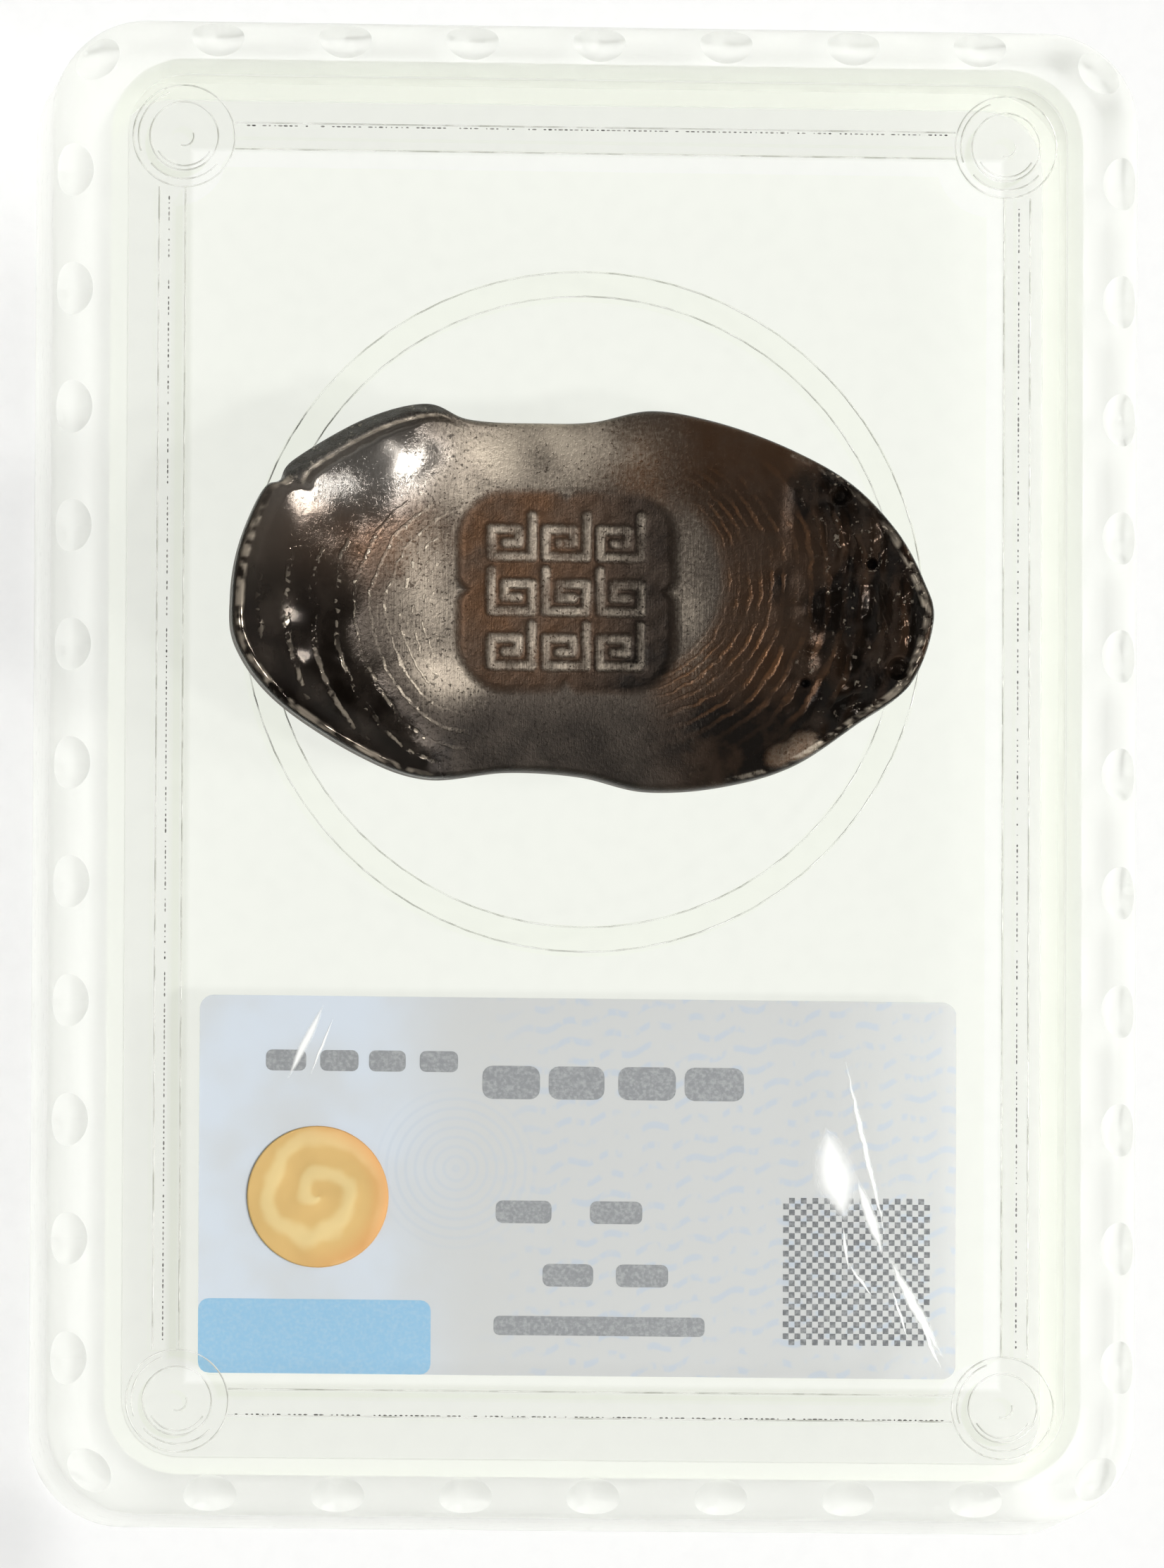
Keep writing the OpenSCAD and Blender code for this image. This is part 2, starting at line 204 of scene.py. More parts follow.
class Graph:
    """Adds nodes to a tree, each with its settings and with what feeds it."""

    def __init__(self, tree):
        self.tree = tree
        tree.nodes.clear()

    def add(self, kind, inputs=None, **settings):
        """A new node. An output among the inputs is linked, and anything else is set."""
        node = self.tree.nodes.new(kind)
        for name, value in settings.items():
            setattr(node, name, value)
        for name, value in (inputs or {}).items():
            if isinstance(value, Value):
                self.tree.links.new(value.socket, node.inputs[name])
            else:
                node.inputs[name].default_value = value
        return node

    def value(self, kind, inputs=None, output=0, **settings):
        """One output of a new node."""
        return Value(self, self.add(kind, inputs, **settings).outputs[output])

    def outputs(self, kind, inputs=None, **settings):
        """Every output of a new node, by name."""
        node = self.add(kind, inputs, **settings)
        return {socket.name: Value(self, socket) for socket in node.outputs}

    def math(self, operation, *values):
        """The result of a Math node."""
        return self.value("ShaderNodeMath", dict(enumerate(values)), operation=operation)

    def most(self, first, *others):
        """The largest of these numbers."""
        for other in others:
            first = self.math("MAXIMUM", first, other)
        return first

    def vector(self, operation, *values):
        """The result of a Vector Math node: a number for a length, and a place for anything else."""
        output = "Value" if operation == "LENGTH" else "Vector"
        return self.value("ShaderNodeVectorMath", dict(enumerate(values)), output, operation=operation)

    def where(self, middle=(0, 0, 0)):
        """The place on the piece by its Object coordinates, in millimetres from this point."""
        place = self.value("ShaderNodeTexCoord", output="Object")
        return self.vector("MULTIPLY", self.vector("SUBTRACT", place, tuple(middle)), (1 / MM,) * 3)

    def axes(self, place):
        """The three numbers of a place."""
        return list(self.outputs("ShaderNodeSeparateXYZ", {0: place}).values())

    def place(self, x, y, z):
        """A place from its three numbers."""
        return self.value("ShaderNodeCombineXYZ", {0: x, 1: y, 2: z})

    def blend(self, share, first, second):
        """A mix of two colours."""
        inputs = {0: share, 6: rgba(first), 7: rgba(second)}
        return self.value("ShaderNodeMix", inputs, 2, data_type="RGBA")

    def span(self, value, low, high, start=0.0, end=1.0):
        """A number brought from one span to another, smoothly and with its ends held."""
        inputs = {"Value": value, 1: low, 2: high, 3: start, 4: end}
        return self.value("ShaderNodeMapRange", inputs, interpolation_type="SMOOTHSTEP")

    def band(self, value, low, full, fade, high):
        """1 between full and fade, and 0 below low and above high."""
        return self.span(value, low, full) * self.span(value, high, fade)

    def wave(self, value, pitch):
        """A sine wave of this pitch along a number."""
        return self.math("SINE", value * (TURN / pitch))

    def noise(self, place, size, detail=2.0, roughness=0.5):
        """Noise with blots of about this size."""
        inputs = {"Vector": place, "Scale": 1 / size, "Detail": detail, "Roughness": roughness}
        return self.value("ShaderNodeTexNoise", inputs)

    def attribute(self, name):
        """A number that the mesh carries at each point."""
        return self.value("ShaderNodeAttribute", output="Fac", attribute_name=name)

    def bump(self, height, strength, depth):
        """A normal from a height, with a depth in millimetres."""
        inputs = {"Height": height, "Strength": strength, "Distance": depth * MM}
        return self.value("ShaderNodeBump", inputs)

    def principled(self, inputs):
        """A Principled shader."""
        return self.value("ShaderNodeBsdfPrincipled", inputs)

    def surface(self, shader, other=None, share=0.0):
        """Ends the material in this shader, or in a mix with this share of another one."""
        if other is not None:
            shader = self.value("ShaderNodeMixShader", {0: share, 1: shader, 2: other})
        self.add("ShaderNodeOutputMaterial", {"Surface": shader})

    def line(self, start, end):
        """A straight curve between two places."""
        return self.value("GeometryNodeCurvePrimitiveLine", {"Start": start, "End": end})

    def moved(self, shape, place):
        """A shape moved by this much."""
        return self.value("GeometryNodeTransform", {"Geometry": shape, "Translation": place})

    def joined(self, shapes):
        """These shapes as one."""
        node = self.add("GeometryNodeJoinGeometry")
        for shape in shapes:
            self.tree.links.new(shape.socket, node.inputs[0])
        return Value(self, node.outputs[0])


def rgba(colour):
    """A colour with its alpha. An output stays as it is."""
    return colour if isinstance(colour, Value) else (*colour, 1.0)


def new_material(name):
    """An empty node material and its graph."""
    material = bpy.data.materials.new(name)
    material.use_nodes = True
    return material, Graph(material.node_tree)


def finish_node(name, material, clear=False):
    """Gives a CAD node its finish. A clear one throws no shadow."""
    mesh = NODES[name].data
    mesh.materials.clear()
    mesh.materials.append(material)
    NODES[name].visible_shadow = not clear


def add_piece(mesh, name, material=None):
    """A finished piece at the origin that rides on the case."""
    if material:
        mesh.materials.append(material)
    piece = bpy.data.objects.new(name, mesh)
    bpy.context.scene.collection.objects.link(piece)
    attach(piece, "root")
    return piece


def middle_of(node):
    """The middle of a CAD node's box."""
    low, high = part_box(node)
    return (low + high) / 2


def moulded_group():
    """Faint waves and hazy specks of a moulded plastic face, with sizes in millimetres."""
    name = "Moulded Face"
    if name in bpy.data.node_groups:
        return bpy.data.node_groups[name]
    group = bpy.data.node_groups.new(name, "ShaderNodeTree")
    group.interface.new_socket("Vector", in_out="INPUT", socket_type="NodeSocketVector")
    for label, default in (("Wave Size", 4.0), ("Speck Size", 0.4)):
        socket = group.interface.new_socket(label, in_out="INPUT", socket_type="NodeSocketFloat")
        socket.default_value = default
    for label in ("Haze", "Height"):
        group.interface.new_socket(label, in_out="OUTPUT", socket_type="NodeSocketFloat")
    graph = Graph(group)
    given = graph.outputs("NodeGroupInput")
    waves = graph.noise(given["Vector"], given["Wave Size"], 1)
    specks = graph.noise(given["Vector"], given["Speck Size"], 3)
    graph.add("NodeGroupOutput", {"Haze": graph.span(specks, 0.55, 0.8), "Height": waves})
    return group


def moulded(graph, wave_size, speck_size):
    """Haze and height of a moulded face at these sizes."""
    inputs = {"Vector": graph.where(), "Wave Size": wave_size, "Speck Size": speck_size}
    face = graph.outputs("ShaderNodeGroup", inputs, node_tree=moulded_group())
    return face["Haze"], face["Height"]


def thick_share(graph):
    """1 where the covers are solid, outside the chamber, and 0 over the chamber."""
    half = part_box("inner_tray")[1] / MM
    x, y = graph.axes(graph.vector("ABSOLUTE", graph.where()))[:2]
    return graph.span(graph.most(x - half.x, y - half.y), -0.35, 0.05)


# Counts of faces, bent at and passed straight, a little short of those at which light is given up as lost
BENT_LIMIT = 9.5
STRAIGHT_LIMIT = 5.5
CLEAR_IOR = 1.33
FROSTED_IOR = 1.17


def trapped_shares(graph, path):
    """1 for light that has run through so many faces that it would be lost: going in, and coming out."""
    bent = graph.math("GREATER_THAN", path["Ray Depth"], BENT_LIMIT)
    straight = graph.math("GREATER_THAN", path["Transparent Depth"], STRAIGHT_LIMIT)
    trapped = (graph.most(bent, straight) - path["Is Diffuse Ray"]).held()
    leaving = trapped * graph.value("ShaderNodeNewGeometry", output="Backfacing")
    return trapped - leaving, leaving


def plastic_colours(graph, entering, colour, pale):
    """Colours of a clear shader, which gives trapped light a pale colour in place of black."""
    return {
        "Base Color": graph.blend(entering, colour, BLACK),
        "Emission Color": graph.blend(entering, BLACK, pale),
        "Emission Strength": 1.0,
    }


def clear_plastic(name, thin, thick):
    """Clear moulded plastic that lets the lamps' light straight through."""
    material, graph = new_material(name)
    haze, height = moulded(graph, 4, 0.4)
    path = graph.outputs("ShaderNodeLightPath")
    entering, leaving = trapped_shares(graph, path)
    colour = graph.blend(thick_share(graph), thin, thick)
    plastic = graph.principled(
        {
            **plastic_colours(graph, entering, colour, thick),
            "Roughness": haze * 0.004,
            "IOR": CLEAR_IOR,
            "Transmission Weight": 1.0,
            "Normal": graph.bump(height, 0.08, 0.1),
        }
    )
    lit = graph.most(path["Is Shadow Ray"], path["Is Diffuse Ray"], path["Is Glossy Ray"])
    straight = graph.value("ShaderNodeBsdfTransparent", {"Color": rgba(thin)})
    graph.surface(plastic, straight, graph.most((lit - entering).held(), leaving))
    return material


def frosted_plastic(case):
    """Soft frosted plastic."""
    material, graph = new_material("frosted_frame")
    haze, height = moulded(graph, 3, 0.6)
    path = graph.outputs("ShaderNodeLightPath")
    entering, leaving = trapped_shares(graph, path)
    soft = graph.principled(
        {
            **plastic_colours(graph, entering, case.frosted, case.frosted),
            "Roughness": graph.span(haze, 0, 1, 0.285, 0.36),
            "IOR": FROSTED_IOR,
            "Transmission Weight": 0.9,
            "Normal": graph.bump(height, 0.1, 0.1),
        }
    )
    straight = graph.value("ShaderNodeBsdfTransparent")
    graph.surface(soft, straight, graph.most(path["Is Shadow Ray"], leaving))
    return material


def add_camera(stage):
    """A long lens over the case, leaning a little to the left and towards the card."""
    data = bpy.data.cameras.new("camera")
    data.sensor_width = 36
    data.lens = data.sensor_width * stage.view_distance / stage.view_height
    data.clip_end = 20
    camera = bpy.data.objects.new("camera", data)
    bpy.context.scene.collection.objects.link(camera)
    low, high = CAD_BOX
    aim = (low + high) / 2 + Vector((stage.aim_x, stage.aim_y, 0))
    back = Vector((stage.lean_x, stage.lean_y, 1)).normalized()
    across = Vector((0, 1, 0)).cross(back).normalized()
    up = back.cross(across)
    turn = Matrix((across, up, back)).transposed() @ Matrix.Rotation(stage.roll, 3, "Z")
    camera.matrix_world = Matrix.Translation(aim + back * stage.view_distance) @ turn.to_4x4()
    bpy.context.scene.camera = camera


# Directions from the case to the two round lamps and to the two strips, and each one's size and light
LOW_LAMP = (0.37, -0.17, 0.91)
LOW_SIZE = 0.75
LOW_SHARE = 0.6
SIDE_LAMP = (0.70, -0.08, 0.70)
SIDE_SHARE = 0.4
STRIPS = ((-0.5, 0.06, 0.85), (-0.54, 0.06, 0.85))
STRIP_LENGTH = 0.25
STRIP_WIDTH = 0.012
STRIP_SHARE = 0.012
# Heights of the sky, as sines, between which it goes from pale to dark
SKY_FADE = (0.35, 0.95)
FLOOR_HALF = 3.0
FLOOR_GAP = 0.02
FLOOR_GRAIN = (0.9, 0.9, 0.89)
# Part of the floor's white that doesn't depend on the lamps
FLOOR_GLOW = 0.88
# A soft shade on the floor left of the case: where it starts, is full, fades and ends, and its depth
SHADE_X = (-60, -36, -32, -27)
SHADE_Y = (-60, -40, 25, 42)
SHADE_DEPTH = 0.2


def add_lamp(name, direction, distance, size, share, width=None):
    """A lamp that gives the case this share of full light: round, or a strip of this width."""
    towards = Vector(direction).normalized()
    data = bpy.data.lights.new(name, "AREA")
    data.shape = "RECTANGLE" if width else "DISK"
    data.size = size
    data.size_y = width or size
    data.energy = share * math.pi**2 * distance**2 / towards.z
    lamp = bpy.data.objects.new(name, data)
    bpy.context.scene.collection.objects.link(lamp)
    lamp.location = towards * distance
    lamp.rotation_euler = towards.to_track_quat("Z", "Y").to_euler()


def add_sky(stage):
    """Surroundings that are pale low down and dark overhead, with white behind the case."""
    world = bpy.data.worlds.new("studio")
    world.use_nodes = True
    bpy.context.scene.world = world
    graph = Graph(world.node_tree)
    height = graph.axes(graph.value("ShaderNodeTexCoord", output="Generated"))[2]
    surround = graph.span(height, *SKY_FADE, stage.sky_low, stage.sky_high)
    seen = graph.value("ShaderNodeLightPath", output="Is Camera Ray")
    strength = graph.value("ShaderNodeMix", {0: seen, 2: surround, 3: 1.0})
    light = graph.value("ShaderNodeBackground", {"Color": (1, 1, 1, 1), "Strength": strength})
    graph.add("ShaderNodeOutputWorld", {"Surface": light})


def add_floor(stage):
    """A wide pale floor just under the case."""
    half = FLOOR_HALF
    level = CAD_BOX[0].z - FLOOR_GAP * MM
    mesh = bpy.data.meshes.new("floor")
    corners = [(-half, -half, level), (half, -half, level), (half, half, level), (-half, half, level)]
    mesh.from_pydata(corners, [], [(0, 1, 2, 3)])
    material, graph = new_material("floor")
    where = graph.where()
    grain = graph.span(graph.noise(where, 1.2, 3), 0.4, 0.7, 0, 0.25)
    colour = graph.blend(grain, stage.floor, FLOOR_GRAIN)
    x, y = graph.axes(where)[:2]
    shade = graph.band(x, *SHADE_X) * graph.band(y, *SHADE_Y)
    paint = graph.value("ShaderNodeBsdfDiffuse", {"Color": colour})
    glow = graph.value("ShaderNodeEmission", {"Color": colour, "Strength": 1 - shade * SHADE_DEPTH})
    path = graph.outputs("ShaderNodeLightPath")
    seen = graph.most(path["Is Camera Ray"], path["Is Glossy Ray"], path["Is Transmission Ray"])
    graph.surface(paint, glow, seen * FLOOR_GLOW)
    mesh.materials.append(material)
    floor = bpy.data.objects.new("floor", mesh)
    bpy.context.scene.collection.objects.link(floor)


class INGOT_OT_stage(Operator):
    """Make the camera, the floor, the lamps and the surroundings"""

    bl_idname = "cased_ingot.stage"
    bl_label = "Stage"

    def execute(self, context):
        stage = context.scene.cased_ingot.stage
        context.scene.view_settings.view_transform = "Standard"
        add_camera(stage)
        add_floor(stage)
        add_sky(stage)
        far, size, share = stage.lamp_distance, stage.lamp_size, stage.lamp_share
        add_lamp("lamp_low", LOW_LAMP, far, size * LOW_SIZE, share * LOW_SHARE)
        for direction in STRIPS:
            add_lamp("strip", direction, far, STRIP_LENGTH, STRIP_SHARE, STRIP_WIDTH)
        add_lamp("lamp_side", SIDE_LAMP, far, size, share * SIDE_SHARE)
        return {"FINISHED"}


# Points of the casting's edge wherever it changes its bend, from the right tip and up the right end
CAST_EDGE = np.array(
    [
        [20.1, -1.4], [19.5, 1], [18, 3.8], [15.3, 6.6], [11.7, 8.6], [7.7, 10.2], [4.2, 10.8],
        [0.8, 10.1], [-2.2, 10], [-6.4, 10.1], [-8.9, 10.9], [-12.5, 9.9], [-16.5, 7.5], [-17.3, 6.3],
        [-18.3, 5.7], [-19.6, 2.7], [-20.1, -0.3], [-19.8, -3.2], [-17.4, -6.3], [-12.6, -9.3],
        [-8.7, -10.5], [-4, -10], [0.2, -10.2], [4, -11], [8.5, -10.7], [12.3, -9.6], [15.9, -7.2],
        [18.8, -5],
    ]
)
HALF_L = 20.1
HALF_W = 11.0
MIDDLE_Z = 6.3
END_RISE = 2.7
WAIST_DROP = 1.3
RIM_RISE = 0.7
LIP_RISE = 0.55
# Heights of the left dish at its deepest line and what each power of the way out from there adds
BOWL_X = -8.9
BOWL_Y = 2.0
BOWL_RISE = (6.75, 0.15, 0.012, 0.0006)
BOWL_CROSS = 0.0135
# Where the folded lip lies, counted in points of the edge, and its crest and the rim's round, as shares
# of the way from the middle to the edge
FOLD_AT = 11.2
FOLD_SPAN = 1.9
FOLD_RISE = 0.5
FOLD_DROP = 1.2
CREST = 0.938
RIM = 0.965
RIM_DROP = 0.6
PANEL = (-0.75, 0.3)
PANEL_SIZE = (12.8, 11.8)
PANEL_DEPTH = 0.26
CUSP = 0.5
CUSP_WIDTH = 0.8
STROKE_W = 0.54
STROKE_PITCH = 0.78
STROKE_H = 0.17
STROKE_SOFT = 0.16
# Middle, first radius and growth of the flow rings on either side of the panel
LEFT_RINGS = ((-4.8, -0.9), 5.5, 1.14)
RIGHT_RINGS = ((3.0, 0.9), 5.2, 1.088)
# Middles and radii of the holes in the right end
HOLES = (((14.85, 5.8), 0.55), ((18.1, -4.1), 0.65), ((16.6, 1.9), 0.35), ((12.9, -4.9), 0.3))
HOLE_DEPTH = 0.7
HOLE_RIM = 0.12
# Middle, cosine and sine of the turn, half sizes and height of the flap at the lower right
FLAP = (12.2, -8.6)
FLAP_TURN = (0.87, 0.5)
FLAP_HALF = (1.9, 0.75)
FLAP_RISE = 0.28
# Soft blots of a finish: share, middle and reach
WORN_BLOTS = (
    (0.5, (-9.0, 0), (2.3, 5)),
    (0.6, (-6.3, 7.6), (3.4, 2.4)),
    (0.7, (-1.2, 8.6), (4.5, 2.2)),
    (0.6, (-7.4, -4.6), (1.9, 1.5)),
    (0.25, (6.2, -0.5), (1.4, 5)),
    (0.15, (0, 2), (9, 9)),
)
BROWN_BLOTS = ((0.75, (-12, 3.2), (4, 2.5)), (0.65, (4.5, 7.5), (4, 2.5)))
# The scuffed patch is rougher, and with the wider silvered blot it turns the upper dish grey: partly rubbed
# silver, partly a painted sheen round the lamp highlights.
SCUFFED_SHEEN_BLOT = (1, (-13.9, 6.0), (2.1, 1.2))
SATIN_BLOT = (0.25, (-13.5, 2.8), (2.6, 1.8))
SILVER_AND_SHEEN_BLOT = (0.6, (-11.5, 6.8), (5.5, 3))
# Shares of the finishes on the sides and underneath
UNDER = {"worn": 0.1, "brown": 0.25, "soot": 0.45, "gloss": 0.2}
# Rings of points: the first and where the outer, closer ones start, and the inner ones' share of all
FIRST_RING = 0.012
OUTER_FROM = 0.6
INNER_SHARE = 0.66
SIDE_ROWS = 6
BELLY_ROWS = 30


def smooth(low, high, x):
    """0 at low, 1 at high, and a smooth step between them."""
    t = np.clip((x - low) / (high - low), 0, 1)
    return t * t * (3 - 2 * t)


def band(low, full, fade, high, x):
    """1 between full and fade, and 0 below low and above high."""
    return smooth(low, full, x) * smooth(high, fade, x)


def most(first, *others):
    """The largest of these values at each point."""
    for other in others:
        first = np.maximum(first, other)
    return first


def edge_point(t):
    """Points of the closed smooth curve through the edge's points, where t counts those points."""
    n = len(CAST_EDGE)
    i = np.floor(t).astype(int)
    f = (t - i)[:, None]
    a, b, c, d = (CAST_EDGE[(i + k) % n] for k in (-1, 0, 1, 2))
    return b + f / 2 * ((c - a) + f * ((2 * a - 5 * b + 4 * c - d) + f * (3 * b - a - 3 * c + d)))


def lumps(x, y, size, seed):
    """A smooth random field with swells of about this size, mostly between -1 and 1."""
    rng = np.random.default_rng(seed)
    count = 28
    way = rng.uniform(0, TURN, count)
    pitch = size * rng.uniform(0.7, 1.6, count)
    start = rng.uniform(0, TURN, count)
    total = np.zeros_like(x)
    for angle, wave, phase in zip(way, pitch, start):
        total += np.sin(TURN * (x * math.cos(angle) + y * math.sin(angle)) / wave + phase)
    return total / math.sqrt(count / 2) / 1.6


def blot(x, y, share, middle, reach):
    """A soft round blot with this share in its middle."""
    return share * np.exp(-(((x - middle[0]) / reach[0]) ** 2 + ((y - middle[1]) / reach[1]) ** 2))


def from_ring_middle(x, y, rings):
    """Distance from the middle of these flow rings."""
    return np.hypot(x - rings[0][0], y - rings[0][1])


def right_share(x, y):
    """1 where the right end's flow rings run."""
    away = from_ring_middle(x, y, RIGHT_RINGS)
    return smooth(4.8, 6, away) * smooth(0, 0.6, (x - RIGHT_RINGS[0][0]) / np.maximum(away, 0.5))


def dish_share(x, y, stray):
    """1 in the smooth dish of the left end, with a stray edge."""
    away = from_ring_middle(x, y, LEFT_RINGS) + 0.35 * stray
    return smooth(5.4, 9.8, away) * smooth(-5, -10.5, x + stray)


def fold_share(t):
    """1 along the folded lip and 0 elsewhere on the edge."""
    return smooth(1, 0.6, np.abs(t - FOLD_AT) / FOLD_SPAN)


def stamp_wall(x, y):
    """1 inside the stamped panel and 0 outside, with soft walls and a small cusp halfway along each."""
    px = np.abs(x - PANEL[0])
    py = np.abs(y - PANEL[1])
    half_w, half_l = PANEL_SIZE[0] / 2, PANEL_SIZE[1] / 2
    round_r = min(half_w, half_l) / 2
    qx = px - half_w + round_r
    qy = py - half_l + round_r
    inside = round_r - np.hypot(np.maximum(qx, 0), np.maximum(qy, 0)) - np.minimum(np.maximum(qx, qy), 0)
    cusp = CUSP * np.clip(1 - np.minimum(px, py) / CUSP_WIDTH, 0, 1) ** 2
    return smooth(-0.2, 0.6, inside - cusp)


def spiral_strokes():
    """Ends of the straight strokes of the square spirals in the panel."""
    ways = np.array([[1, 0], [0, 1], [-1, 0], [0, -1]])
    turns = [np.zeros(2)]
    for k in range(6):
        turns.append(turns[-1] + (k // 2 + 1) * STROKE_PITCH * ways[k % 4])
    turns = np.array(turns) - STROKE_PITCH / 2
    strokes = []
    for row in (-1, 0, 1):
        hand = -1 if row == 0 else 1
        for column in (-1, 0, 1):
            points = turns * (hand, 1) + np.array((column, row)) * 4 * STROKE_PITCH + PANEL
            strokes += list(zip(points[:-1], points[1:]))
    return strokes


def stroke_share(x, y):
    """1 on the raised strokes and 0 between them, with soft sides."""
    nearest = np.full_like(x, 9.0)
    for start, end in spiral_strokes():
        middle = (start + end) / 2
        half = np.abs(end - start) / 2
        past_x = np.maximum(np.abs(x - middle[0]) - half[0], 0)
        past_y = np.maximum(np.abs(y - middle[1]) - half[1], 0)
        nearest = np.minimum(nearest, np.hypot(past_x, past_y))
    return smooth(STROKE_W / 2 + STROKE_SOFT, STROKE_W / 2 - STROKE_SOFT, nearest)


def saddle(x, y):
    """Height of the bare casting, low in the middle and let down at the waist, and the share of its ends."""
    end = smooth(0.3, 0.62, np.abs(x) / HALF_L)
    rise = END_RISE * (np.abs(x) / HALF_L) ** 2.1
    waist = (1 - end) * WAIST_DROP * (np.abs(y) / HALF_W) ** 2.6
    return MIDDLE_Z + rise - waist, end


def bowl(x, y, v):
    """Height of the smooth dish of the left end."""
    reach = BOWL_X - x
    deep, slope, bend, curl = BOWL_RISE
    rise = deep + slope * reach + bend * reach**2 + curl * np.maximum(reach, 0) ** 3
    return rise + BOWL_CROSS * (y - BOWL_Y) ** 2 + 0.2 * smooth(0.93, 0.97, v)


def rough_form(x, y, v, t, cast):
    """Height of the upper face without its stamp, and the shares of what shapes it."""

    def swell(size, draw, px=x, py=y):
        return lumps(px, py, size, cast.seed + draw)

    z, end = saddle(x, y)
    fold = fold_share(t)
    lip = (LIP_RISE + 0.12 * swell(5, 1)) * smooth(0.84, 0.95, v)
    z = z + end * (RIM_RISE * v**4 + lip)
    dish = smooth(5.5, 9.5, from_ring_middle(x, y, LEFT_RINGS)) * smooth(-3.5, -9.5, x) * smooth(-6, 1, y)
    z = z * (1 - dish) + bowl(x, y, v) * dish
    out = v + 0.005 * swell(1.1, 15)
    crumpled = 0.07 * smooth(0.925, 0.945, out) * swell(0.8, 16) * (v < 1)
    folded = FOLD_RISE * smooth(0.9, CREST, out) - FOLD_DROP * smooth(CREST, 1, out) + crumpled
    rounded = RIM_DROP * (1 - np.sqrt(np.clip(1 - ((v - RIM) / (1 - RIM)) ** 2, 0, 1))) * (v > RIM)
    z = z + fold * folded - rounded

    broken = np.clip(0.5 + 0.5 * swell(0.6, 4) + 0.4 * swell(2.6, 14), 0, 1)
    ridges = swell(3.4, 5, 1.7 * x, 0.6 * y)
    small = swell(1.3, 6)
    rough_end = smooth(10, 15, x) * smooth(1, 0.93, v)
    z = z + cast.lump_height / MM * rough_end * (ridges + 0.35 * small)
    lower_left = smooth(-5, -9, x) * smooth(0, -5, y)
    z = z + (0.008 * end + 0.035 * lower_left) * swell(2.6, 7)

    cos, sin = FLAP_TURN
    turn_x = (x - FLAP[0]) * cos + (y - FLAP[1]) * sin
    turn_y = (y - FLAP[1]) * cos - (x - FLAP[0]) * sin
    flap = smooth(1.1, 0.7, np.hypot(turn_x / FLAP_HALF[0], turn_y / FLAP_HALF[1]) + 0.2 * small)
    holes = np.zeros_like(x)
    for middle, radius in HOLES:
        away = np.hypot(x - middle[0], y - middle[1]) / radius
        holes = np.maximum(holes, smooth(1.05, 0.6, away))
        z = z + HOLE_RIM * np.exp(-(((away - 1.25) / 0.25) ** 2))
    z = z + FLAP_RISE * flap - HOLE_DEPTH * holes
    return z, {"flap": flap, "holes": holes, "ridges": ridges, "broken": broken, "fold": fold, "end": end}


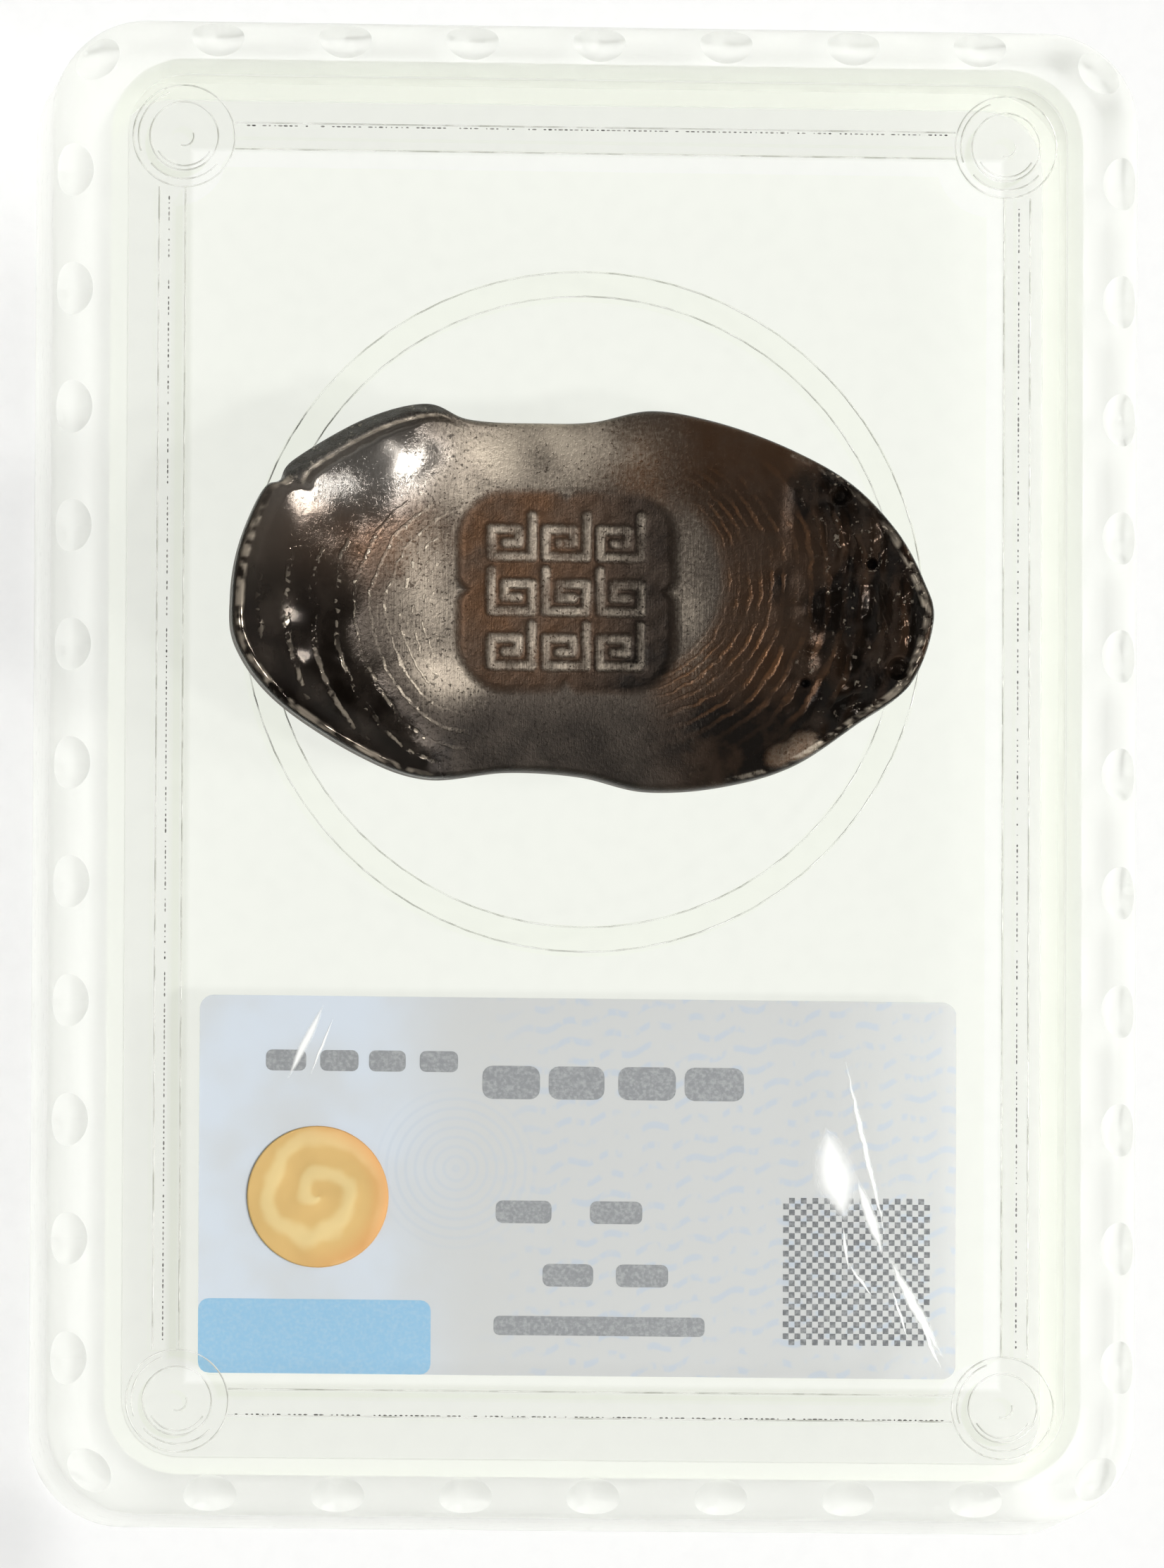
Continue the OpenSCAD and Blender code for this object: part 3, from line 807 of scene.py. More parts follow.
def finish_shares(x, y, v, form, cast):
    """Share of each finish at each point of the upper face."""
    fold, flap, broken = form["fold"], form["flap"], form["broken"]
    panel, stroke = form["panel"], form["stroke"]
    left = dish_share(x, y, lumps(x, y, 4, cast.seed + 11))
    right = right_share(x, y)
    rough_end = smooth(11.5, 15, x + 1.2 * lumps(x, y, 4, cast.seed + 12))
    # The fold's outer slope is painted near black: partly its dark crust, partly painted shade.
    shaded_fold_skin = fold * smooth(0.94, 0.95, v)
    fold_line = fold * band(0.922, 0.932, CREST, 0.947, v) * (0.4 + 0.6 * broken)
    rim = band(0.96, 0.972, 0.985, 0.994, v) * form["end"] * (1 - fold)
    rim = rim * (1 - 0.6 * smooth(4, 9, x) * smooth(2, 5, y))

    patchy = 0.9 + 0.2 * lumps(x, y, 3, cast.seed + 10)
    worn = sum(blot(x, y, *spot) for spot in WORN_BLOTS) * patchy * (1 - panel)
    worn = most(worn, 0.52 * stroke * panel * (1 - 0.45 * smooth(-2, 5, x))) * (1 - 0.9 * left)
    worn = most(worn, 0.3 * flap, 0.8 * rim * broken, fold_line, 0.12 * shaded_fold_skin)
    cool = 0.6 * smooth(-3, 5, x)
    brown = most(0.75 * panel * (1 - 0.7 * stroke) * (1 - cool), 0.9 * right * (1 - 0.3 * rough_end))
    brown = most(brown, *(blot(x, y, *spot) for spot in BROWN_BLOTS))
    soot = rough_end * (0.35 + 0.6 * smooth(0.5, -0.5, form["ridges"]))
    soot = soot + right * (0.25 + 0.25 * smooth(3, 6.5, y))
    # The colour darkens towards the bottom of the face, in the dish towards its lower side, and in the panel
    # towards its right and its bottom.
    soot = soot + 0.75 * smooth(-4.5, -8, y) + left * (0.1 + 0.75 * smooth(4.5, -1.5, y))
    soot = soot + panel * (0.15 + 0.8 * cool + 0.3 * smooth(-2, -5, y) + 0.2 * smooth(1, 4, x))
    # On the fold's outer slope this darkness is partly painted shade.
    soot = most(soot, 0.9 * shaded_fold_skin, form["holes"], smooth(0.985, 1, v)) * (1 - flap)

    crust = most(fold * smooth(0.935, 0.945, v), flap)
    scuffed_sheen = left * blot(x, y, *SCUFFED_SHEEN_BLOT)
    satin = 0.35 * scuffed_sheen + blot(x, y, *SATIN_BLOT)
    gloss = most(left * (1 - satin), 0.8 * rough_end) * (1 - crust) * (1 - fold_line)
    terraces = band(5.4, 7, 7.8, 9, from_ring_middle(x, y, LEFT_RINGS))
    left_end = smooth(-7.5, -9, x) * smooth(0.95, 0.9, v)
    finish = {
        # Grey of the upper dish: rubbed silver and a painted sheen.
        "silvered": left * most(0.9 * scuffed_sheen, blot(x, y, *SILVER_AND_SHEEN_BLOT)),
        "terraces": terraces * smooth(-5.5, -7.5, x) * smooth(6, 4, y),
        "rough": most(rough_end, shaded_fold_skin),
        "crust": crust,
        "worn": worn,
        "brown": brown,
        "soot": soot,
        "gloss": most(gloss, 0.35 * right),
        "left_rings": left_end * smooth(6.5, 3, y - 0.5 * (x + 10)),
        "lower_left": left_end * smooth(-1, -5, y),
        "right_rings": right * (1 - 0.6 * rough_end) * band(-9.5, -5, 4, 8.5, y),
    }
    return {name: np.clip(share, 0, 1) for name, share in finish.items()}


def upper_face(x, y, v, t, cast):
    """Height of the upper face, and the share of each finish at each point of it."""
    z, form = rough_form(x, y, v, t, cast)
    panel = stamp_wall(x, y)
    near = panel > 0
    stroke = np.zeros_like(x)
    stroke[near] = stroke_share(x[near], y[near])
    stroke = np.clip(stroke * (0.85 + 0.25 * lumps(x, y, 2.5, cast.seed + 8)), 0, 1)
    pressed = MIDDLE_Z - PANEL_DEPTH + STROKE_H * stroke + 0.015 * lumps(x, y, 0.9, cast.seed + 9)
    z = z * (1 - panel) + np.minimum(pressed, z) * panel
    return z, finish_shares(x, y, v, {**form, "panel": panel, "stroke": stroke}, cast)


def casting_mesh(cast):
    """The whole casting as one closed mesh in the place of its CAD node."""
    t = np.arange(cast.steps) * len(CAST_EDGE) / cast.steps
    edge_x, edge_y = edge_point(t).T
    inner = np.linspace(FIRST_RING, OUTER_FROM, int(cast.rings * INNER_SHARE), endpoint=False)
    outer = OUTER_FROM + (1 - OUTER_FROM) * np.linspace(0, 1, cast.rings - len(inner)) ** 0.8
    v = np.concatenate((inner, outer))
    x, y = np.outer(v, edge_x), np.outer(v, edge_y)
    around, out = np.meshgrid(t, v)
    z, finish = upper_face(x, y, out, around, cast)

    rim_z, end = saddle(edge_x, edge_y)
    belly_rim = rim_z + 0.75 * end + 0.7 * fold_share(t) - 2
    low_v = np.linspace(1, 0.03, BELLY_ROWS) ** 1.1
    low_x, low_y = np.outer(low_v, edge_x), np.outer(low_v, edge_y)
    pocks = 0.12 * lumps(low_x, low_y, 1.4, cast.seed + 11) * np.sin(math.pi * low_v)[:, None]
    low_z = np.outer(low_v**3.4, belly_rim) + np.maximum(pocks, 0)
    side_share = np.linspace(0, 1, SIDE_ROWS + 2)[1:-1, None]
    side_z = z[-1] * (1 - side_share) + low_z[0] * side_share
    side_x, side_y = np.tile(edge_x, (SIDE_ROWS, 1)), np.tile(edge_y, (SIDE_ROWS, 1))

    sheets = [(x, y, z), (side_x, side_y, side_z), (low_x, low_y, low_z)]
    points = np.concatenate([np.stack(sheet, -1).reshape(-1, 3) for sheet in sheets])
    points = np.vstack((points, [[0, 0, z[0].mean()], [0, 0, 0]]))
    low, high = (np.array(corner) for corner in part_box("ingot"))
    spread = points.max(0) - points.min(0)
    points = low + (points - points.min(0)) / spread * (high - low)

    n = cast.steps
    loops = (len(points) - 2) // n
    row = np.arange(loops - 1)[:, None] * n
    here = np.arange(n)
    beside = (here + 1) % n
    quads = np.stack((row + here, row + n + here, row + n + beside, row + beside), -1).reshape(-1, 4)
    last = loops * n
    start = np.stack((np.full(n, last), here, beside), -1)
    close = np.stack((np.full(n, last + 1), last - n + beside, last - n + here), -1)
    mesh = bpy.data.meshes.new("casting")
    mesh.from_pydata(points.tolist(), [], quads.tolist() + start.tolist() + close.tolist())
    mesh.shade_smooth()
    for name, values in finish.items():
        held = np.full(len(points), UNDER.get(name, 0), np.float32)
        held[: values.size] = values.ravel()
        mesh.attributes.new(name, "FLOAT", "POINT").data.foreach_set("value", held)
    mesh.update()
    return mesh


def ring_threads(graph, where, wobble, rings, sharp):
    """Thin threads that run round a point, 1 on each thread."""
    middle, first, growth = rings
    flat = graph.vector("MULTIPLY", graph.vector("SUBTRACT", where, (*middle, 0)), (1, 1, 0))
    away = graph.vector("LENGTH", flat) + wobble
    ring = graph.math("LOGARITHM", away / first, growth)
    return graph.span(graph.math("COSINE", ring * TURN), sharp, 1.0)


def toned_silver(cast):
    """Cast silver: a dark toned skin, brown where it is thick and bright where it is rubbed off."""
    material, graph = new_material("toned_silver")
    where = graph.where(middle_of("ingot"))
    grain = graph.noise(where, 0.22, 4, 0.65) - 0.5
    pits = graph.span(graph.noise(where, 0.2, 3), 0.6, 0.7)
    blots = graph.noise(where, 2.2, 4, 0.6)
    wobble = (graph.noise(where, 2.6, 5, 0.62) - 0.5) * 1.1
    brushed = graph.noise(graph.vector("MULTIPLY", where, (22, 0.7, 22)), 1.6, 3, 0.7) - 0.5
    ragged = (blots - 0.5) * 0.5 + grain * 0.4
    gloss = graph.span(graph.attribute("gloss") + ragged, -0.05, 1.1)
    dull = 1 - gloss

    beads = graph.span(graph.noise(where, 0.42, 1), 0.53, 0.6)
    lower_left = graph.attribute("lower_left") * graph.span(blots, 0.45, 0.55)
    beaded = graph.most(beads, lower_left) * graph.attribute("left_rings")
    left = ring_threads(graph, where, wobble, LEFT_RINGS, 0.6)
    left = left * graph.most(beaded, graph.attribute("terraces") * 0.3)
    right_rings = graph.attribute("right_rings")
    right = ring_threads(graph, where, wobble, RIGHT_RINGS, 0.1) * right_rings
    right = right * graph.span(blots, 0.4, 0.6, 0.1, 1.0)
    # Small raised crumbs on the rough parts; their bright colour is partly a painted glint.
    crumbs_and_glints = graph.span(graph.noise(where, 0.45, 3, 0.6), 0.6, 0.68) * graph.attribute("rough")

    worn = graph.attribute("worn") + left * 0.5 + crumbs_and_glints * 0.45
    worn = worn + grain * dull * 0.6 + brushed * dull * 0.5 - pits * dull * 0.35
    brown = graph.attribute("brown") * graph.span(blots, 0.25, 0.75, 0.4, 1.0)
    soot = graph.attribute("soot") * graph.span(blots, 0.3, 0.65, 0.6, 1.1)
    soot = ((soot + (right_rings - right) * 0.4).held() - right * 0.4).held()
    # Grey of the upper dish, streaked along the brushing: partly rubbed silver, partly a painted sheen.
    grey = (graph.attribute("silvered") * (brushed + 0.8)).held()
    colour = graph.blend(brown, cast.tone, cast.brown)
    colour = graph.blend(soot, colour, cast.soot)
    colour = graph.blend(graph.span(worn, 0.05, 0.95), colour, cast.silver)
    colour = graph.blend(grey, colour, cast.scuffed_sheen)

    height = grain * 1.2 + brushed * 0.6 - pits * 0.5
    height = height * (dull + graph.attribute("crust") * 3)
    height = height + left * 1.2 + right * 1.6 + crumbs_and_glints * 1.5
    metal = {
        "Base Color": colour,
        "Metallic": 0.6,
        "Specular IOR Level": 0.25,
        "Roughness": (graph.span(gloss, 0, 1, 0.45, 0.06) + grain * dull * 0.3).held(),
        "Normal": graph.bump(height, 0.6, 0.06),
    }
    graph.surface(graph.principled(metal))
    return material


class INGOT_OT_casting(Operator):
    """Make the silver casting with its folded lip, flow rings and stamped panel"""

    bl_idname = "cased_ingot.casting"
    bl_label = "Casting"

    def execute(self, context):
        cast = context.scene.cased_ingot.casting
        piece = add_piece(casting_mesh(cast), "cast_ingot", toned_silver(cast))
        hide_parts("ingot")
        return {"FINISHED"}


class INGOT_OT_clear_case(Operator):
    """Finish the clear covers, the tray and the ring"""

    bl_idname = "cased_ingot.clear_case"
    bl_label = "Clear Case"

    def execute(self, context):
        case = context.scene.cased_ingot.case
        cover = clear_plastic("clear_cover", case.cover, case.thick)
        tray = clear_plastic("clear_tray", case.tray, case.thick)
        for name in ("front_cover", "rear_cover"):
            finish_node(name, cover, clear=True)
        for name in ("inner_tray", "well_ring"):
            finish_node(name, tray, clear=True)
        return {"FINISHED"}


class INGOT_OT_edge_frame(Operator):
    """Finish the soft frosted edge frame"""

    bl_idname = "cased_ingot.edge_frame"
    bl_label = "Edge Frame"

    def execute(self, context):
        finish_node("bumper_frame", frosted_plastic(context.scene.cased_ingot.case), clear=True)
        return {"FINISHED"}


# Distances in millimetres from the CAD nodes' own edges to the weld line and to the posts
WELD_OUT = (1.0, 1.5)
WELD_END_GAP = 4.2
WELD_UP = 0.6
WELD_SEED = 3
POST_IN = 4.2
POST_DOWN = 1.9
GROOVE_OUT = 1.5
EDGE_GAP = 0.1
BUBBLE_PALE = (0.35, 0.34, 0.32)
EDGE_PALE = (0.95, 0.95, 0.92)
# Radii of the round edges on each post and on the ring, along which painted edge lines run, in millimetres
POST_EDGES = (2.9, 1.95)
RING_EDGES = (19.5, 18.1)
# Widths of the painted lines at the ring's edges and along the groove, as shares of the full width
RING_SHARE = 0.5
GROOVE_SHARE = 0.7
# Glints in each post: radius in millimetres, first angle and sweep in degrees, and share of the full width
POST_GLINTS = (
    (0.55, -110, 130, 2.6),
    (1.7, -150, 120, 1.8),
    (2.45, -140, 100, 1.2),
    (2.6, 110, 90, 1.0),
)
SOCKETS = {float: "NodeSocketFloat", int: "NodeSocketInt", tuple: "NodeSocketVector"}


def grown(name, title, nodes, values, material):
    """The plain mesh that geometry nodes make from these named inputs."""
    tree = bpy.data.node_groups.new(title, "GeometryNodeTree")
    tree.interface.new_socket("Geometry", in_out="OUTPUT", socket_type="NodeSocketGeometry")
    for label, value in values.items():
        tree.interface.new_socket(label, in_out="INPUT", socket_type=SOCKETS[type(value)])
    graph = Graph(tree)
    shape = nodes(graph, graph.outputs("NodeGroupInput"))
    real = graph.value("GeometryNodeRealizeInstances", {0: shape})
    finished = graph.value("GeometryNodeSetMaterial", {"Geometry": real, "Material": material})
    graph.add("NodeGroupOutput", {0: finished})

    carrier = bpy.data.objects.new(name + "_source", bpy.data.meshes.new(name + "_source"))
    bpy.context.scene.collection.objects.link(carrier)
    modifier = carrier.modifiers.new("grow", "NODES")
    modifier.node_group = tree
    for item in tree.interface.items_tree:
        if item.in_out == "INPUT":
            modifier[item.identifier] = values[item.name]
    carrier.update_tag()
    view = bpy.context.evaluated_depsgraph_get()
    mesh = bpy.data.meshes.new_from_object(carrier.evaluated_get(view), depsgraph=view)
    mesh.name = name
    carrier.modifiers.remove(modifier)
    bpy.data.objects.remove(carrier)
    if not mesh.polygons:
        raise RuntimeError(name + " came out empty")
    return mesh


def wall_lines(graph, side, half_x, half_y, reach_x, reach_y, level):
    """The upright and the level line along the chamber's walls on one side."""
    wall_x, wall_y = half_x * side, half_y * side
    upright = graph.line(graph.place(wall_x, reach_y * -1, level), graph.place(wall_x, reach_y, level))
    across = graph.line(graph.place(reach_x * -1, wall_y, level), graph.place(reach_x, wall_y, level))
    return upright, across


def weld_nodes(graph, given):
    """Small bubbles strung along four straight lines."""
    half_x, half_y, gap = given["Half Width"], given["Half Length"], given["End Gap"]
    lines = []
    for side in (-1, 1):
        lines += wall_lines(graph, side, half_x, half_y, half_x - gap, half_y - gap, given["Level"])
    inputs = {"Curve": graph.joined(lines), "Length": given["Spacing"]}
    spots = graph.outputs("GeometryNodeCurveToPoints", inputs, mode="LENGTH")
    index = graph.value("GeometryNodeInputIndex")
    chance = {"Probability": 0.85, "Seed": given["Seed"]}
    present = graph.value("FunctionNodeRandomValue", chance, 3, data_type="BOOLEAN")
    along = graph.value("FunctionNodeRandomValue", {2: 0.8, 3: 3.2, "Seed": given["Seed"]}, 1)
    across = graph.value("FunctionNodeRandomValue", {2: 0.6, 3: 1.1, "ID": index}, 1)
    width = given["Bubble Width"] * across
    inputs = {
        "Points": spots["Points"],
        "Selection": present,
        "Instance": graph.value("GeometryNodeMeshIcoSphere", {"Radius": 0.5, "Subdivisions": 2}),
        "Rotation": spots["Rotation"],
        "Scale": graph.place(width, width, given["Bubble Width"] * along),
    }
    return graph.value("GeometryNodeInstanceOnPoints", inputs)


def edge_nodes(graph, given):
    """Thin tubes of painted shade along the rounded edges of the posts, the pins, the chamber and the ring,
    with painted glints in the posts.
    """
    level, post_x, post_y = given["Level"], given["Post X"], given["Post Y"]
    along = graph.value("GeometryNodeSplineParameter", output="Factor")
    taper = graph.math("SINE", along * math.pi)
    lines = []

    def draw(curve, share):
        lines.append(graph.value("GeometryNodeSetCurveRadius", {"Curve": curve, "Radius": share}))

    def circle(radius, middle, share):
        inputs = {"Resolution": 72, "Radius": radius * MM}
        draw(graph.moved(graph.value("GeometryNodeCurvePrimitiveCircle", inputs), middle), share)

    def glint(radius, start, sweep, middle, share):
        inputs = {
            "Resolution": 36,
            "Radius": radius * MM,
            "Start Angle": math.radians(start),
            "Sweep Angle": math.radians(sweep),
        }
        draw(graph.moved(graph.value("GeometryNodeCurveArc", inputs), middle), taper * share)

    for side in (-1, 1):
        for end in (-1, 1):
            post = graph.place(post_x * side, post_y * end, level)
            for radius in POST_EDGES:
                circle(radius, post, 1.0)
            for radius, start, sweep, share in POST_GLINTS:
                glint(radius, start, sweep, post, share)
        reach_x = post_x - POST_EDGES[0] * MM
        reach_y = post_y - POST_EDGES[0] * MM
        for out, share in ((0.0, 1.0), (given["Groove"], GROOVE_SHARE)):
            half_x, half_y = given["Half Width"] + out, given["Half Length"] + out
            for line in wall_lines(graph, side, half_x, half_y, reach_x, reach_y, level):
                draw(line, share)
    for radius in RING_EDGES:
        circle(radius, graph.place(0.0, given["Ring Y"], given["Ring Level"]), RING_SHARE)
    inputs = {"Resolution": 6, "Radius": given["Width"] * 0.5}
    profile = graph.value("GeometryNodeCurvePrimitiveCircle", inputs)
    return graph.value("GeometryNodeCurveToMesh", {"Curve": graph.joined(lines), "Profile Curve": profile})


class INGOT_OT_weld_line(Operator):
    """Make the broken line of bubbles where the covers are welded"""

    bl_idname = "cased_ingot.weld_line"
    bl_label = "Weld Line"

    def execute(self, context):
        case = context.scene.cased_ingot.case
        material, graph = new_material("weld_bubbles")
        pale = graph.span(graph.noise(graph.where(), 0.5), 0.3, 0.7)
        colour = graph.blend(pale, case.bubble, BUBBLE_PALE)
        graph.surface(graph.principled({"Base Color": colour, "Roughness": 0.6}))
        tray_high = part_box("inner_tray")[1]
        values = {
            "Half Width": tray_high.x + WELD_OUT[0] * MM,
            "Half Length": tray_high.y + WELD_OUT[1] * MM,
            "End Gap": WELD_END_GAP * MM,
            "Level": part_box("rear_cover")[1].z + WELD_UP * MM,
            "Bubble Width": case.bubble_width,
            "Spacing": case.bubble_spacing,
            "Seed": WELD_SEED,
        }
        mesh = grown("weld_bubbles", "Weld Bubbles", weld_nodes, values, material)
        add_piece(mesh, "weld_bubbles")
        return {"FINISHED"}


class INGOT_OT_painted_edge_lines(Operator):
    """Make the thin lines of painted shade and glints that outline the clear mouldings' rounded edges"""

    bl_idname = "cased_ingot.rounded_edges"
    bl_label = "Rounded Edges"

    def execute(self, context):
        case = context.scene.cased_ingot.case
        material, graph = new_material("rounded_edges")
        where = graph.where()
        # The lines are painted shade, lightened in places to a painted highlight, and fade out in places.
        pale = graph.span(graph.noise(where, 2), 0.35, 0.65)
        colour = graph.blend(pale, case.edge, EDGE_PALE)
        faint = graph.span(graph.noise(where, 1.3), 0.35, 0.6, 0.9, 0.25)
        graph.surface(graph.principled({"Base Color": colour, "Roughness": 0.3, "Alpha": faint}))
        tray_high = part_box("inner_tray")[1]
        cover_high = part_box("front_cover")[1]
        values = {
            "Half Width": tray_high.x + EDGE_GAP * MM,
            "Half Length": tray_high.y + EDGE_GAP * MM,
            "Groove": GROOVE_OUT * MM,
            "Post X": cover_high.x - POST_IN * MM,
            "Post Y": cover_high.y - POST_IN * MM,
            "Level": cover_high.z - POST_DOWN * MM,
            "Ring Y": middle_of("well_ring").y,
            "Ring Level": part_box("well_ring")[1].z - EDGE_GAP * MM,
            "Width": case.edge_width,
        }
        mesh = grown("rounded_edges", "Rounded Edges", edge_nodes, values, material)
        add_piece(mesh, "rounded_edges")
        return {"FINISHED"}


# Creases in the card's film, which carry a painted white glare: middle on the card, run to the right for
# each step down, half width and half length, in millimetres
FILM_CREASES = (
    ((14.9, 1.0), 0.22, 1.45, 3.0),
    ((16.6, 2.5), 0.23, 0.2, 5.8),
    ((16.9, -1.4), 0.35, 0.4, 2.6),
    ((19.5, -6.5), 0.55, 0.4, 3.6),
    ((20.2, -8.2), 0.4, 0.18, 2.2),
    ((15.5, -3.2), 0.12, 0.13, 1.4),
    ((16.4, -5.1), 0.75, 0.13, 1.3),
    ((18.6, -6.9), 0.3, 0.12, 1.8),
    ((-15.5, 8.3), -0.48, 0.3, 2.6),
    ((-14.6, 8.0), -0.4, 0.1, 2.0),
)
CREASE_STRAY = 0.25
CREASE_GLARE = 0.92
# Heights above the card of its print and its film
PRINT_UP = 0.008
FILM_UP = 0.02
FILM_CORNER = 1.0
# Rows of plain bars where the card is printed: lower and upper edge, and each bar's left and right end
PRINT_ROWS = (
    ((6.5, 7.7), ((-17.9, -15.6), (-14.8, -12.6), (-12.0, -9.9), (-9.1, -6.9))),
    ((5.0, 6.9), ((-5.5, -2.2), (-1.7, 1.5), (2.3, 5.6), (6.1, 9.5))),
    ((-2.1, -0.8), ((-4.7, -1.5), (0.7, 3.7))),
    ((-5.7, -4.4), ((-2.0, 0.9), (2.2, 5.2))),
    ((-8.5, -7.4), ((-4.8, 7.3),)),
)
# The band's right end, its top and its corner, and the lattice's middle, side, tile and count
BAND_RIGHT = -8.4
BAND_TOP = -6.55
BAND_CORNER = 0.6
LATTICE_AT = (16.0, -4.7)
LATTICE_SIDE = 8.1
LATTICE_TILE = 0.33
LATTICE_COUNT = 25
INK_SPECK = (0.72, 0.73, 0.73)
# The card's waves: their pitch and slant, and the pitch and reach of the ripple in them
WAVE_PITCH = 1.15
WAVE_SLANT = 0.2
RIPPLE_PITCH = 2.4
RIPPLE_REACH = 0.18
ROSETTE = (-7, 1, 0)
ROSETTE_PITCH = 0.55
# The seal's swirl: its pitch and how far it strays, and the pale and the warm colour of the foil
SWIRL_PITCH = 2.2
SWIRL_STRAY = 2.0
FOIL_PALE = from_screen(232, 212, 156)
FOIL_WARM = from_screen(228, 158, 96)


def film_crease(graph, where, middle, slope, width, reach):
    """Share of one spindle-shaped crease in the clear film over the card, where a painted white glare shows.
    """
    turn = math.hypot(1, slope)
    x, y = graph.axes(graph.vector("SUBTRACT", where, (*middle, 0)))[:2]
    across = graph.math("ABSOLUTE", x * (1 / turn) + y * (slope / turn)) / width
    along = (x * (slope / turn) - y * (1 / turn)) / reach
    return graph.span(1 - along * along - across, 0.0, 0.75)


def clear_film(middle):
    """Clear film that shows only where it is creased, as a painted white glare along the creases."""
    material, graph = new_material("clear_film")
    where = graph.where(middle)
    where = graph.vector("ADD", where, graph.noise(where, 1.2, 3) * CREASE_STRAY)
    # White along the creases: a painted glare on the creased film.
    white = graph.most(0.0, *(film_crease(graph, where, *crease) for crease in FILM_CREASES))
    film = {"Base Color": (1, 1, 1, 1), "Roughness": 0.25, "Alpha": white * CREASE_GLARE}
    graph.surface(graph.principled(film))
    return material


def printed_card(card, middle):
    """Glossy card with a blue wash on the left, faint waves and a rosette of fine arcs."""
    material, graph = new_material("printed_card")
    where = graph.where(middle)
    x, y = graph.axes(where)[:2]
    cloud = graph.noise(where, 6, 3)
    wash = graph.span(x, -5, -13) * graph.span(cloud, 0.3, 0.65, 0.35, 1.0)
    slant = y - x * WAVE_SLANT + graph.wave(x, RIPPLE_PITCH) * RIPPLE_REACH
    breaks = graph.noise(graph.vector("MULTIPLY", where, (1, 0.5, 1)), 0.7)
    lines = graph.span(graph.wave(slant, WAVE_PITCH), 0.1, 0.9) * graph.span(x, -7, 0)
    lines = lines * graph.span(breaks, 0.42, 0.58)
    flat = graph.vector("MULTIPLY", graph.vector("SUBTRACT", where, ROSETTE), (1, 1, 0))
    away = graph.vector("LENGTH", flat)
    arcs = graph.span(graph.wave(away, ROSETTE_PITCH), 0.0, 0.9) * graph.span(away, 5.5, 3.5)
    colour = graph.blend(wash, card.paper, card.wash)
    colour = graph.blend(lines * 0.6, colour, card.waves)
    colour = graph.blend(arcs * 0.25, colour, card.waves)
    buckle = graph.noise(graph.vector("MULTIPLY", where, (1, 0.35, 1)), 3.5)
    paper = {
        "Base Color": colour,
        "Roughness": graph.span(cloud, 0, 1, 0.45, 0.55),
        "Coat Weight": 1.0,
        "Coat Roughness": 0.04,
        "Coat Normal": graph.bump(buckle, 0.3, 0.12),
    }
    graph.surface(graph.principled(paper))
    return material


def gold_foil(card):
    """Gold foil with a pale swirl and a warm edge on the right."""
    material, graph = new_material("gold_foil")
    middle = middle_of("seal_sticker")
    where = graph.vector("MULTIPLY", graph.where((middle.x, middle.y, 0)), (1, 1, 0))
    x, y = graph.axes(where)[:2]
    drift = graph.noise(where, 3)
    away = graph.vector("LENGTH", where)
    swirl = (away + drift * SWIRL_STRAY) * (TURN / SWIRL_PITCH) + graph.math("ARCTAN2", y, x)
    rings = graph.math("SINE", swirl)
    edge = graph.span(away, 2.6, 4.1) * graph.span(x, -3, 4)
    colour = graph.blend(graph.span(rings, -0.4, 1.0) * 0.55, card.foil, FOIL_PALE)
    foil = {
        "Base Color": graph.blend(edge * 0.7, colour, FOIL_WARM),
        "Metallic": 0.35,
        "Roughness": graph.span(drift, 0, 1, 0.3, 0.45),
        "Normal": graph.bump(rings, 0.12, 0.03),
    }
    graph.surface(graph.principled(foil))
    return material


def ink(name, colour, speck):
    """Printed ink with a fine grain."""
    material, graph = new_material(name)
    grain = graph.span(graph.noise(graph.where(), 0.2, 3), 0.35, 0.75, 0, speck)
    mixed = graph.blend(grain, colour, INK_SPECK)
    graph.surface(graph.principled({"Base Color": mixed, "Roughness": 0.25}))
    return material


def block_mesh(name, blocks, middle, level, corner=None):
    """Flat rectangles with rounded corners, at this level on the card."""
    points, faces = [], []
    for left, right, low, high in blocks:
        r = corner or min(right - left, high - low) * 0.3
        first = len(points)
        corners = ((right - r, high - r), (left + r, high - r), (left + r, low + r), (right - r, low + r))
        for quarter, (corner_x, corner_y) in enumerate(corners):
            for k in range(5):
                a = (quarter + k / 4) * math.pi / 2
                x = corner_x + r * math.cos(a)
                y = corner_y + r * math.sin(a)
                points.append((middle.x + x * MM, middle.y + y * MM, level))
        faces.append(tuple(range(first, len(points))))
    mesh = bpy.data.meshes.new(name)
    mesh.from_pydata(points, [], faces)
    return mesh


def lattice_nodes(graph, given):
    """A square of small tiles, with every other one left out."""
    side, tile, count = given["Side"], given["Tile"], given["Count"]
    grid = graph.value("GeometryNodeMeshGrid", {0: side, 1: side, 2: count, 3: count})
    inputs = {
        "Points": graph.moved(grid, given["Place"]),
        "Selection": graph.math("MODULO", graph.value("GeometryNodeInputIndex"), 2.0),
        "Instance": graph.value("GeometryNodeMeshGrid", {0: tile, 1: tile, 2: 2, 3: 2}),
    }
    return graph.value("GeometryNodeInstanceOnPoints", inputs)


